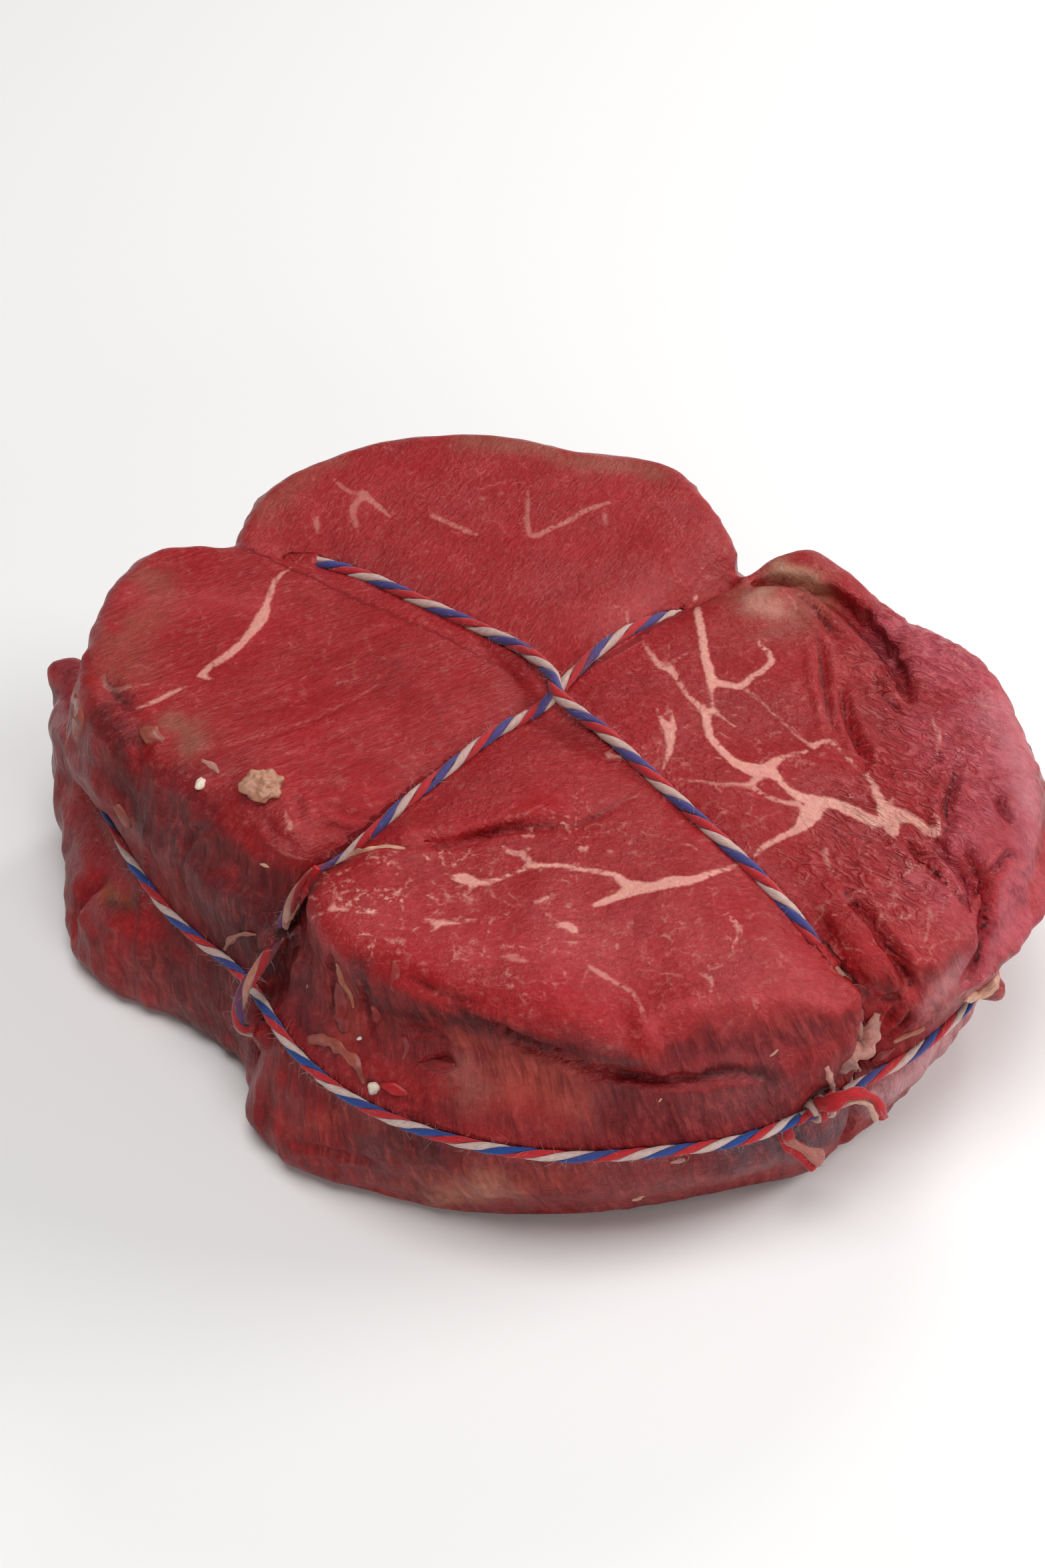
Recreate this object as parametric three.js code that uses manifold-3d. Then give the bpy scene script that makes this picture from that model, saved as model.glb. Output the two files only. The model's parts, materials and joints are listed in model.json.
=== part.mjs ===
// Raw beef tournedos: one thick round medallion, held in shape by three-ply butcher's twine.
// Millimetres, +Z up. The medallion rests on z = 0 and its wide side faces -Y.
// Angles are in degrees round the vertical axis, counted from +X towards +Y.

import * as THREE from 'three';
import { mergeVertices } from 'three/addons/utils/BufferGeometryUtils.js';
import Module from 'manifold-3d';

const wasm = await Module();
wasm.setup();

// ---------------------------------------------------------------- driving dimensions

const CENTRE_HEIGHT = 30.6;      // board to the middle of the cut top face
const FOOT_ROUND = 2.4;          // rounding where the side meets the board
const FOOT_LEVEL = 2.4;          // heights at which the outlines below are measured
const BELLY_LEVEL = 8.5;
const RING_LEVEL = 14;
const SHOULDER_LEVEL = 22;
const WAIST_INSET = 0.5;         // from the axis of the twine ring in to the meat

const TWINE_RADIUS = 0.65;
const TWINE_SIDES = 8;
const TWINE_STEP = 4;            // about three twine diameters
const TWINE_GAP = 0.35;          // clear space between the twine and what it touches
const UNDER_LEVEL = 0.8;         // the axis of a strand under the medallion
const OVERPASS = 2 * TWINE_RADIUS + TWINE_GAP + 0.1;

const COLUMNS = 112;             // facets round the medallion
const TOP_ROWS = 9;
const EDGE_ROWS = 3;
const SIDE_ROWS = 10;
const FOOT_ROWS = 2;
const UNDERSIDE_ROWS = 3;
const FACET_TOLERANCE = 0.02;    // facets that move the surface less than this are joined

// The whole is set so that its box is centred on the origin.
const CENTRING = [1.7, 1.5, 0];

// Outlines of the medallion from its foot up to its rim, as [angle, radius]. Its waist
// follows the twine ring, and its belly swells past foot and waist by BELLY_SWELL.
const FOOT = [
  [0, 42], [15, 40.5], [30, 38.5], [45, 37], [60, 36.5], [75, 37.4], [90, 38.4], [105, 39.8],
  [120, 41], [132, 41.4], [143, 41], [152, 43.6], [160, 46], [168, 47], [176, 47.6],
  [184, 49], [190, 48.2], [195, 45.8], [200, 41.8], [204, 39.8], [209, 38.2], [214, 37], [219, 37.6],
  [224, 41], [229, 41.6], [236, 42], [243, 41], [254, 40.5], [270, 39.7], [284, 39.6],
  [297, 40.7], [305, 42.2], [313, 41.8], [322, 42.2], [332, 42.4], [346, 42.6],
];
const BELLY_SWELL = [
  [0, 1.2], [45, 0.6], [100, 1], [150, 1], [170, 1.4], [184, 2.2], [192, 2], [200, 0.9],
  [215, 0.4], [240, 0.6], [270, 1.4], [290, 1.6], [310, 0.8], [335, 1.2],
];
const SHOULDER = [
  [0, 46.2], [12, 43.4], [25, 39.2], [35, 37.2], [42, 36], [46, 30], [55, 32.6], [68, 37.2],
  [85, 38.6], [100, 40.8], [115, 42.8], [130, 42.8], [140, 41.4], [148, 42.6], [158, 47],
  [170, 47.6], [182, 46.8], [189, 42.6], [196, 39.8], [208, 36.8], [218, 34.2], [226, 32.8],
  [233, 35], [245, 36], [256, 37], [268, 38.6], [277, 40.2], [286, 41.8], [298, 44],
  [306, 44.6], [311, 43], [318, 45.6], [323, 46.8], [327, 48.2], [332, 49], [337, 49.5],
  [344, 49.4], [352, 47.8],
];
const RIM = [
  [0, 44.8], [8, 43.6], [13, 41.6], [19, 38.4], [25, 36.8], [31, 36.4], [38, 35.8], [42.5, 34.8],
  [44.2, 32], [46, 27.4], [50, 29], [56, 31], [64, 34.4], [68, 36.3], [76, 37.2],
  [86, 37.4], [93, 39], [104, 40.8], [118, 42.7], [128, 42.7], [134, 42.2], [142, 40.4],
  [148, 42.2], [152, 45.4], [162, 46.4], [172, 45.6], [180, 45.8], [186, 43.6], [192, 39.8],
  [201, 36.9], [210, 34.5], [217, 32.4], [223, 30.6], [228, 33.2], [233, 35.6], [240, 36.8],
  [250, 37.3], [259, 37.8], [268, 39.2], [276, 40.6], [281, 41.4], [288, 40.6], [297, 42],
  [303, 43.2], [308, 44], [312, 43], [318, 45.2], [325, 46], [336, 47.2], [348, 46.8],
];

// Height of the top edge, and how softly the top face turns into the side, as [angle, size].
const RIM_HEIGHT = [
  [0, 28.6], [30, 28.8], [42, 29], [48, 29.8], [70, 30.1], [110, 30.3], [150, 30.3],
  [180, 29.9], [200, 29.5], [216, 28.8], [230, 29.4], [250, 29.2], [266, 28.4], [274, 27],
  [280, 26.2], [288, 27.4], [300, 27.2], [310, 25.8], [320, 25.6], [335, 26.8],
];
const EDGE_ROUND = [
  [0, 4], [35, 3], [43, 1.4], [60, 1.4], [110, 1.5], [150, 1.5], [176, 2], [192, 3.4],
  [205, 4.6], [217, 4], [224, 2], [231, 1.6], [240, 3], [250, 4.2], [264, 4], [274, 2.6],
  [280, 1.8], [286, 3.4], [296, 4.6], [303, 3.4], [310, 1.8], [318, 3], [340, 4.4],
];

// The loose flap at the left, outside the twine: how far it stands out and how high it goes.
const FLAP = { angle: 164, spread: 20, reach: 5.8, top: 20, thickness: 3, footShare: 0.66 };

// The muscle in front of the seam sags below the one behind it, between two angles.
const SAG = { from: 236, to: 300, inner: 0.42, depth: 1.1, length: 9 };

// Where the twine parts the side into lobes: half the width of each notch along the rim, and
// its depth at the foot, the waist and the rim.
const NOTCHES = {
  northWest: { angle: 145.5, halfWidth: 4.2, depths: [1.8, 4.4, 4.2] },
  northEast: { angle: 45.4, halfWidth: 4.4, depths: [2.4, 6.6, 1.4] },
  southWest: { angle: 222.6, halfWidth: 3.4, depths: [0.4, 3.4, 3.4] },
  southEast: { angle: 310, halfWidth: 2.8, depths: [0.9, 3, 3.4] },
};

// The strands across the top face, in plan from the crossing outwards. Each has dented the
// meat, and its axis stands above the dented face, by the depths at its inner and outer end.
const STRANDS = {
  northWest: {
    plan: [[-0.2, 0.8], [-2.8, 4.9], [-6.8, 8.8], [-12.8, 13.3], [-19, 18], [-25, 20.8]],
    dent: [0.5, 1.9], lift: [0.3, 0],
  },
  northEast: {
    plan: [[1.8, 2.5], [4.4, 5.9], [7.4, 9.2], [10.6, 12.6], [14.4, 16], [18, 18.6]],
    dent: [0.5, 3.6], lift: [0.3, -2.6],
  },
  southWest: {
    plan: [[-1.5, -2.2], [-5.5, -5.5], [-9.8, -9.9], [-13.8, -13.8], [-17.2, -17], [-19.8, -19]],
    dent: [0.5, 2.6], lift: [0.3, -0.2],
  },
  southEast: {
    plan: [
      [0.4, -2], [4.9, -6.8], [8.9, -11.2], [13.4, -16.6], [17.7, -21.4], [21.4, -25.8],
      [24.4, -30.4],
    ],
    dent: [0.4, 1.8], lift: [0.3, -0.3],
  },
};
const DENT_WIDTH = 2.6;

// How the strands run down the side, as [angle, radius, height]. The one at the front left
// passes outside the ring and hooks back in below it.
const DOWN_NORTH_WEST = [[144, 35.2, 27.4], [145.4, 37.8, 22], [145.6, 39.4, 14], [145.4, 38.4, 7]];
const DOWN_NORTH_EAST = [[45.4, 27.8, 23.2], [45.4, 31.4, 19], [45.4, 35.4, 13], [45.4, 35.4, 7]];
const DOWN_SOUTH_EAST = [[309.2, 41.2, 24], [310, 41.8, 19], [310, 41.4, 13], [310, 41, 7]];
const DOWN_SOUTH_WEST = [
  [222.4, 29.8, 26.4], [221.6, 31.8, 24.2], [221.8, 33.8, 21.2], [222, 36, 18.9],
  [222, 38.2, 17.2], [222, 39.2, 14.9], [222, 39, 12.4], [222.2, 37.4, 10.4],
  [222.6, 36.4, 8.2], [222.8, 36.6, 5.4],
];
const FOOT_INSET = 3.4;          // from the foot of the side to where a strand lies flat below
const FOOT_TURN = [1.4, 2.2];    // a strand's axis as it turns under the foot: inset, height

// The ring of twine round the waist, in plan, from the knot round the front and back to it.
const RING = [
  [21.8, -38.1], [16.8, -40.5], [8.8, -42], [0.9, -42.5], [-6.5, -41.4], [-13.2, -39],
  [-18.8, -35.6], [-23, -31.4], [-25.9, -26.9], [-27.8, -23.2], [-30.3, -19.9],
  [-33.4, -16.9], [-36.5, -13.4], [-39, -9.6], [-41.1, -5.9], [-43, -1.7], [-44.7, 2.4],
  [-46, 7.5], [-45.7, 13], [-43.4, 19.4], [-39.2, 25.4], [-33, 30.8], [-25.5, 35],
  [-17, 37.8], [-8, 39.1], [1.5, 38.8], [10.5, 37.3], [19, 34.7], [27, 30.8], [33.6, 25.8],
  [38.8, 19.8], [42.6, 13], [44.8, 6], [45.6, -1], [45.2, -8], [43.2, -14.4], [40.6, -20.2],
  [37.6, -25.4], [33.1, -30.2], [29.3, -33], [25.8, -35.2],
];

// The knot and its two cut ends at the front right, as [angle, radius, height].
const KNOT = { angle: 302.7, radius: 43.9, height: 14, length: 3.6, thickness: 1.5, wraps: 3 };
const TAIL_UPPER = [
  [302.8, 45.4, 16.2], [304, 45.9, 16.9], [305.4, 46.4, 16.8], [306.8, 47, 15.7],
  [307.4, 47.4, 14.3], [307.6, 47.5, 13.2],
];
const TAIL_LOWER = [[298.2, 43.9, 11.7], [299.4, 44.4, 10.5], [300.6, 45, 9.4], [301.8, 45.6, 8.6]];

// Slits where two muscles part, as points in plan or in space, with the direction of the cut.
// Each leans under the muscle that laps over the other.
const SLITS = {
  seamBelowWedgeMuscle: {
    route: [
      [-17.4, -18.6], [-15, -19.4], [-12.2, -19.2], [-8.8, -18.6], [-4.8, -17.4],
      [-0.8, -16.8], [4, -15.6],
    ],
    mouth: 1.1, depth: 2.2, inward: [0, 0.9, -1],
  },
  foldOfRightLobe: {
    route: [
      [19.4, 18.2], [22.1, 17.6], [26.4, 15.8], [29.8, 11.4], [31.6, 7], [32.8, 2.2],
      [33.4, -2.6],
    ],
    mouth: 2.6, depth: 4.4, inward: [0.5, 0.3, -1],
  },
  foldBehindOuterLip: {
    route: [[31.7, -15.6], [34, -17], [36, -20], [36.8, -23.6], [36.8, -27]],
    mouth: 1.8, depth: 3, inward: [0.6, -0.2, -1],
  },
  foldBehindFlap: {
    route: [[-43.6, 19.8, 19.6], [-45.8, 15, 19.6], [-46.9, 10, 19.4], [-46.6, 5, 18.4]],
    mouth: 1.6, depth: 5.2, inward: [0, 0, -1],
  },
};
const SIDE_SLITS = {
  frontCrack: {
    path: [
      [248, 25.4], [255, 25], [262, 24.2], [268, 23.2], [274, 22.3], [280, 21.6],
      [286, 21.4], [292, 21.4], [299, 20.8],
    ],
    mouth: 1.3, depth: 4.6, rise: 0.5,
  },
  leftCrease: {
    path: [[188, 12], [187.4, 9], [188, 6], [189.4, 2.6]],
    mouth: 1.6, depth: 3.4, rise: 0.1,
  },
};
const SLIT_STEPS = 9;
const SLIT_PROUD = 0.8;          // how far a slit's cutter stands out of the meat

// Bits of fat stuck to the meat: place in plan, size along X, Y and Z, and turn in degrees.
const FAT_BITS = {
  crumb: { at: [-26.8, -12.7], size: [4.3, 3.4, 1.9], turn: 15 },
  smallCrumb: { at: [-32.6, -11.3], size: [1.4, 1, 0.8], turn: 50 },
};
const FAT_TAB = { angle: 328.8, radius: 46.4, height: 16, size: [5, 2.8, 3.4], turn: -30 };
const FLAP_TIP = { angle: 162.6, radius: 50.8, height: 18, size: [5.2, 3.8, 5.4], turn: -14 };

// ---------------------------------------------------------------- small helpers

const radians = (degrees) => degrees * Math.PI / 180;

function clamp01(value) {
  return Math.min(1, Math.max(0, value));
}

function smooth(value) {
  const t = clamp01(value);
  return t * t * (3 - 2 * t);
}

function polar(angle, radius, height) {
  return new THREE.Vector3(
    radius * Math.cos(radians(angle)), radius * Math.sin(radians(angle)), height);
}

function angleOf(x, y) {
  return (THREE.MathUtils.radToDeg(Math.atan2(y, x)) + 360) % 360;
}

// The slope of a smooth curve at its middle one of three stations, without overshoot.
function easedSlope(before, here, after) {
  const rise = (here[1] - before[1]) / (here[0] - before[0]);
  const next = (after[1] - here[1]) / (after[0] - here[0]);
  return rise * next <= 0 ? 0 : 2 * rise * next / (rise + next);
}

// A smooth curve through stations [position, value]; with a period it closes on itself.
function curveValue(stations, position, period = 0) {
  const count = stations.length;
  const station = (index) => {
    if (!period) return stations[THREE.MathUtils.clamp(index, 0, count - 1)];
    const turns = Math.floor(index / count);
    const [place, value] = stations[index - turns * count];
    return [place + turns * period, value];
  };
  const place = period ? THREE.MathUtils.euclideanModulo(position, period) : position;
  let low = period ? -1 : 0;
  while (low < count - 2 + (period ? 1 : 0) && station(low + 1)[0] <= place) low += 1;
  const [from, to] = [station(low), station(low + 1)];
  const span = to[0] - from[0];
  const t = clamp01((place - from[0]) / span);
  const slopeFrom = low > 0 || period ? easedSlope(station(low - 1), from, to) : 0;
  const slopeTo = low < count - 2 || period ? easedSlope(from, to, station(low + 2)) : 0;
  const bend = (1 + 2 * t) * (1 - t) ** 2 * from[1] + t * t * (3 - 2 * t) * to[1];
  return bend + span * (t * (1 - t) ** 2 * slopeFrom - t * t * (1 - t) * slopeTo);
}

const round = (stations, angle) => curveValue(stations, angle, 360);

// Distance in plan to a line of points, and how far along it the nearest point is, 0 to 1.
function nearestOnLine(line, x, y) {
  let best = { distance: Infinity, along: 0 };
  for (let i = 0; i < line.length - 1; i += 1) {
    const [ax, ay] = line[i];
    const [dx, dy] = [line[i + 1][0] - ax, line[i + 1][1] - ay];
    const t = clamp01(((x - ax) * dx + (y - ay) * dy) / (dx * dx + dy * dy));
    const distance = Math.hypot(x - ax - t * dx, y - ay - t * dy);
    if (distance < best.distance) best = { distance, along: (i + t) / (line.length - 1) };
  }
  return best;
}

// A geometry as a solid: shared corners merged, triangles without area dropped, and all of
// its faces turned outwards.
function solidOf(geometry) {
  const bare = geometry.clone();
  bare.deleteAttribute('normal');
  bare.deleteAttribute('uv');
  const merged = mergeVertices(bare, 1e-4);
  const index = merged.index.array;
  const outward = signedVolume(merged) > 0;
  const kept = [];
  for (let i = 0; i < index.length; i += 3) {
    const [a, b, c] = [index[i], index[i + 1], index[i + 2]];
    if (a !== b && b !== c && c !== a) kept.push(a, ...(outward ? [b, c] : [c, b]));
  }
  const solid = new wasm.Manifold(new wasm.Mesh({
    numProp: 3,
    vertProperties: new Float32Array(merged.attributes.position.array),
    triVerts: new Uint32Array(kept),
  }));
  if (solid.volume() <= 0) throw new Error('a solid is open or empty');
  return solid;
}

function signedVolume(geometry) {
  const position = geometry.attributes.position;
  const index = geometry.index.array;
  const corners = [new THREE.Vector3(), new THREE.Vector3(), new THREE.Vector3()];
  let volume = 0;
  for (let i = 0; i < index.length; i += 3) {
    corners.forEach((corner, k) => corner.fromBufferAttribute(position, index[i + k]));
    volume += corners[0].dot(corners[1].cross(corners[2])) / 6;
  }
  return volume;
}

function geometryOf(solid) {
  const { vertProperties, triVerts } = solid.getMesh();
  const geometry = new THREE.BufferGeometry();
  geometry.setAttribute('position', new THREE.BufferAttribute(vertProperties, 3));
  geometry.setIndex(new THREE.BufferAttribute(triVerts, 1));
  return geometry;
}

// ---------------------------------------------------------------- the form of the meat

// Arc length along the rim from a notch, as a share of its half width.
function notchShare(notch, angle, radius) {
  const apart = Math.abs(THREE.MathUtils.euclideanModulo(angle - notch.angle + 180, 360) - 180);
  return radians(apart) * radius / notch.halfWidth;
}

// Two lobes that roll down into the same crease.
function notchDepth(angle, radius, height) {
  let depth = 0;
  for (const notch of Object.values(NOTCHES)) {
    const inside = 1 - clamp01(notchShare(notch, angle, radius));
    const [atFoot, atWaist, atRim] = notch.depths;
    const depths = [[0, atFoot], [RING_LEVEL, atWaist], [CENTRE_HEIGHT, atRim]];
    depth += curveValue(depths, height) * (1 - Math.sqrt(1 - inside * inside));
  }
  return depth;
}

// How far the loose flap stands out: highest at its middle, and cut off square at its top.
function flapReach(angle, height) {
  const aside = Math.min(1, Math.abs(angle - FLAP.angle) / FLAP.spread);
  const upright = THREE.MathUtils.lerp(FLAP.footShare, 1, smooth(height / FLAP.top));
  const cutOff = 1 - smooth((height - FLAP.top + FLAP.thickness) / FLAP.thickness);
  return FLAP.reach * Math.cos(Math.PI / 2 * aside) ** 2 * upright * cutOff;
}

const WAIST = RING
  .map(([x, y]) => [angleOf(x, y), Math.hypot(x, y) - WAIST_INSET])
  .sort((one, other) => one[0] - other[0]);

function sideRadius(angle, height) {
  const edge = round(RIM_HEIGHT, angle) - round(EDGE_ROUND, angle);
  const [foot, waist] = [round(FOOT, angle), round(WAIST, angle)];
  const levels = [
    [FOOT_LEVEL, foot],
    [BELLY_LEVEL, (foot + waist) / 2 + round(BELLY_SWELL, angle)],
    [RING_LEVEL, waist],
    [Math.min(SHOULDER_LEVEL, edge - 1.5), round(SHOULDER, angle)],
    [edge, round(RIM, angle)],
  ];
  const radius = curveValue(levels, height) + flapReach(angle, height);
  return radius - notchDepth(angle, radius, height);
}

// The cut top face: nearly level, dented along the strands.
function topHeight(x, y) {
  const angle = angleOf(x, y);
  const share = Math.hypot(x, y) / round(RIM, angle);
  let height = THREE.MathUtils.lerp(CENTRE_HEIGHT, round(RIM_HEIGHT, angle), share ** 3);
  for (const { plan, dent } of Object.values(STRANDS)) {
    const { distance, along } = nearestOnLine(plan, x, y);
    const deep = THREE.MathUtils.lerp(dent[0], dent[1], along ** 2);
    height -= deep * Math.exp(-((distance / DENT_WIDTH) ** 2));
  }
  const seam = nearestOnLine(SLITS.seamBelowWedgeMuscle.route, x, y);
  const between = smooth((angle - SAG.from) / 12) * smooth((SAG.to - angle) / 24);
  const below = between * smooth((share - SAG.inner) / 0.16);
  return height - SAG.depth * below * Math.exp(-seam.distance / SAG.length);
}

// Column angles stand closer together near the notches.
function columnAngles() {
  const density = (angle) => Object.values(NOTCHES).reduce((sum, notch) => {
    const apart = Math.abs(THREE.MathUtils.euclideanModulo(angle - notch.angle + 180, 360) - 180);
    return sum + 2.2 * Math.exp(-((apart / 8) ** 2));
  }, 1);
  const fine = 0.25;
  const running = [0];
  for (let angle = 0; angle < 360; angle += fine) running.push(running.at(-1) + density(angle) * fine);
  const angles = [];
  let step = 0;
  for (let column = 0; column < COLUMNS; column += 1) {
    const wanted = running.at(-1) * column / COLUMNS;
    while (running[step + 1] <= wanted) step += 1;
    angles.push(fine * (step + (wanted - running[step]) / (running[step + 1] - running[step])));
  }
  return angles;
}

// One upright section of the medallion, from the middle of its underside up to the middle of
// its top face.
function sectionAt(angle) {
  const edge = round(EDGE_ROUND, angle);
  const edgeHeight = round(RIM_HEIGHT, angle) - edge;
  const rim = sideRadius(angle, edgeHeight);
  const foot = sideRadius(angle, FOOT_LEVEL);
  const points = [];
  for (let i = 0; i <= UNDERSIDE_ROWS; i += 1) {
    points.push(polar(angle, (foot - FOOT_ROUND) * i / UNDERSIDE_ROWS, 0));
  }
  for (let i = 1; i < FOOT_ROWS; i += 1) {
    const turn = Math.PI / 2 * i / FOOT_ROWS;
    points.push(polar(angle, foot - FOOT_ROUND * (1 - Math.sin(turn)), FOOT_ROUND * (1 - Math.cos(turn))));
  }
  for (let i = 0; i <= SIDE_ROWS; i += 1) {
    const height = THREE.MathUtils.lerp(FOOT_LEVEL, edgeHeight, i / SIDE_ROWS);
    points.push(polar(angle, sideRadius(angle, height), height));
  }
  const inner = rim - edge;
  const brim = polar(angle, inner, 0);
  const brimHeight = topHeight(brim.x, brim.y);
  for (let i = 1; i <= EDGE_ROWS; i += 1) {
    const turn = Math.PI / 2 * i / (EDGE_ROWS + 1);
    const height = THREE.MathUtils.lerp(edgeHeight, brimHeight, Math.sin(turn));
    points.push(polar(angle, inner + edge * Math.cos(turn), height));
  }
  for (let i = TOP_ROWS - 1; i >= 0; i -= 1) {
    const point = polar(angle, inner * i / (TOP_ROWS - 1), 0);
    point.z = topHeight(point.x, point.y);
    points.push(point);
  }
  return points;
}

// A lathed blank whose columns are then moved to the uneven sections.
function medallionBlank() {
  const sections = columnAngles().map(sectionAt);
  const rows = sections[0].length;
  const plainProfile = sections[0].map((point, row) => new THREE.Vector2(1, row));
  const blank = new THREE.LatheGeometry(plainProfile, COLUMNS);
  const position = blank.attributes.position;
  for (let i = 0; i < position.count; i += 1) {
    const point = sections[(COLUMNS - Math.floor(i / rows)) % COLUMNS][i % rows];
    position.setXYZ(i, point.x, point.y, point.z);
  }
  return blank;
}

// ---------------------------------------------------------------- the slits and fat bits

// A thin wedge along a curve on the surface: wide where it stands proud, narrow at its bottom.
function slitCutter(curve, inwardAt, mouth, depth) {
  const cutter = new THREE.BoxGeometry(1, 1, 1, SLIT_STEPS, 1, 1);
  const position = cutter.attributes.position;
  for (let i = 0; i < position.count; i += 1) {
    const along = position.getX(i) + 0.5;
    const deep = position.getZ(i) < 0;
    const taper = Math.sqrt(Math.sin(Math.PI * THREE.MathUtils.lerp(0.06, 0.94, along)));
    const inward = inwardAt(along);
    const across = curve.getTangent(along).cross(inward).normalize();
    const half = deep ? 0.12 * mouth : mouth / 2 * (1 + SLIT_PROUD / depth);
    const point = curve.getPoint(along);
    point.addScaledVector(inward, deep ? depth * taper : -SLIT_PROUD);
    point.addScaledVector(across, Math.sign(position.getY(i)) * half * taper);
    position.setXYZ(i, point.x, point.y, point.z);
  }
  return solidOf(cutter);
}

function openSlit({ route, mouth, depth, inward }) {
  const curve = new THREE.CatmullRomCurve3(route.map(([x, y, z]) => (
    new THREE.Vector3(x, y, z ?? topHeight(x, y)))));
  const direction = new THREE.Vector3(...inward).normalize();
  return slitCutter(curve, () => direction.clone(), mouth, depth);
}

function sideSlit({ path, mouth, depth, rise }) {
  const curve = new THREE.CatmullRomCurve3(path.map(([angle, height]) => (
    polar(angle, sideRadius(angle, height), height))));
  const inwardAt = (along) => {
    const point = curve.getPoint(along);
    return new THREE.Vector3(-point.x, -point.y, 0).normalize().setZ(rise).normalize();
  };
  return slitCutter(curve, inwardAt, mouth, depth);
}

function fatLump(size, turn, place) {
  const lump = new THREE.IcosahedronGeometry(0.5, 1);
  lump.scale(size[0], size[1], size[2]);
  lump.rotateZ(radians(turn));
  lump.translate(place.x, place.y, place.z);
  return solidOf(lump);
}

// ---------------------------------------------------------------- the twine

function routeOfRing() {
  const points = RING.map(([x, y]) => new THREE.Vector3(x, y, RING_LEVEL));
  return new THREE.CatmullRomCurve3(points, false, 'centripetal');
}

function overTop({ plan, lift }, overpass) {
  return plan.map(([x, y], index) => {
    const sunk = smooth(index / (plan.length - 1) * 1.6 - 0.6);
    const axis = topHeight(x, y) + THREE.MathUtils.lerp(lift[0], lift[1], sunk);
    return new THREE.Vector3(x, y, axis + overpass * Math.exp(-((index / 1.1) ** 2)));
  });
}

// From the foot of one side to the foot of the other, flat under the medallion.
function underneath(fromAngle, toAngle, rise) {
  const points = [];
  for (const angle of [fromAngle, toAngle]) {
    const foot = sideRadius(angle, FOOT_LEVEL);
    const reach = foot - FOOT_INSET;
    const leg = [reach, reach - 2, reach * 0.5, 6, 2.4].map((radius) => (
      polar(angle, radius, UNDER_LEVEL + rise * Math.exp(-((radius / 5) ** 2)))));
    leg.unshift(polar(angle, foot - FOOT_TURN[0], FOOT_TURN[1]));
    points.push(...(angle === fromAngle ? leg : leg.reverse()));
  }
  return points;
}

// A loop that goes over the top, down two notches and back under the medallion.
function routeOfCross(first, firstDown, second, secondDown, lift, rise) {
  const points = [
    ...firstDown.map((place) => polar(...place)).reverse(),
    ...overTop(first, lift).reverse(),
    ...overTop(second, lift),
    ...secondDown.map((place) => polar(...place)),
    ...underneath(secondDown.at(-1)[0], firstDown.at(-1)[0], rise),
  ];
  return new THREE.CatmullRomCurve3(points, true, 'centripetal');
}

function closedTwine(route, radius) {
  const steps = Math.round(route.getLength() / TWINE_STEP);
  return new THREE.TubeGeometry(route, steps, radius, TWINE_SIDES, true);
}

function openTwine(route, radius) {
  const section = new THREE.Shape();
  for (let side = 0; side < TWINE_SIDES; side += 1) {
    const turn = 2 * Math.PI * side / TWINE_SIDES;
    const corner = [radius * Math.cos(turn), radius * Math.sin(turn)];
    if (side) section.lineTo(...corner);
    else section.moveTo(...corner);
  }
  section.closePath();
  const steps = Math.max(4, Math.round(route.getLength() / TWINE_STEP));
  return new THREE.ExtrudeGeometry(section, { steps, bevelEnabled: false, extrudePath: route });
}

function tailRoute(places) {
  return new THREE.CatmullRomCurve3(places.map((place) => polar(...place)), false, 'centripetal');
}

// The knot as a short barrel of wraps, lying along the ring.
function knotBlank(swell) {
  const profile = [new THREE.Vector2(0, -KNOT.length / 2 - swell)];
  const rows = 4 * KNOT.wraps;
  for (let row = 0; row <= rows; row += 1) {
    const share = row / rows;
    const wrap = 0.16 * Math.abs(Math.sin(Math.PI * KNOT.wraps * share));
    const end = 0.82 * Math.sqrt(1 - (1.7 * (share - 0.5)) ** 2);
    const height = (share - 0.5) * (KNOT.length + 2 * swell);
    profile.push(new THREE.Vector2(KNOT.thickness * (end + wrap) + swell, height));
  }
  profile.push(new THREE.Vector2(0, KNOT.length / 2 + swell));
  const barrel = new THREE.LatheGeometry(profile, 10);
  barrel.rotateZ(radians(KNOT.angle));
  const place = polar(KNOT.angle, KNOT.radius, KNOT.height);
  barrel.translate(place.x, place.y, place.z);
  return barrel;
}

// ---------------------------------------------------------------- putting it together

const tournedos = new THREE.Group();
tournedos.position.set(...CENTRING);

function addNode(name, geometry, colour, roughness) {
  const material = new THREE.MeshStandardMaterial({ color: colour, roughness, metalness: 0 });
  const mesh = new THREE.Mesh(geometry, material);
  mesh.name = name;
  tournedos.add(mesh);
}

const crossA = routeOfCross(
  STRANDS.northWest, DOWN_NORTH_WEST, STRANDS.southEast, DOWN_SOUTH_EAST, OVERPASS, 0);
const crossB = routeOfCross(
  STRANDS.northEast, DOWN_NORTH_EAST, STRANDS.southWest, DOWN_SOUTH_WEST, 0, OVERPASS);
const ring = routeOfRing();
const upperTail = tailRoute(TAIL_UPPER);
const lowerTail = tailRoute(TAIL_LOWER);

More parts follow.
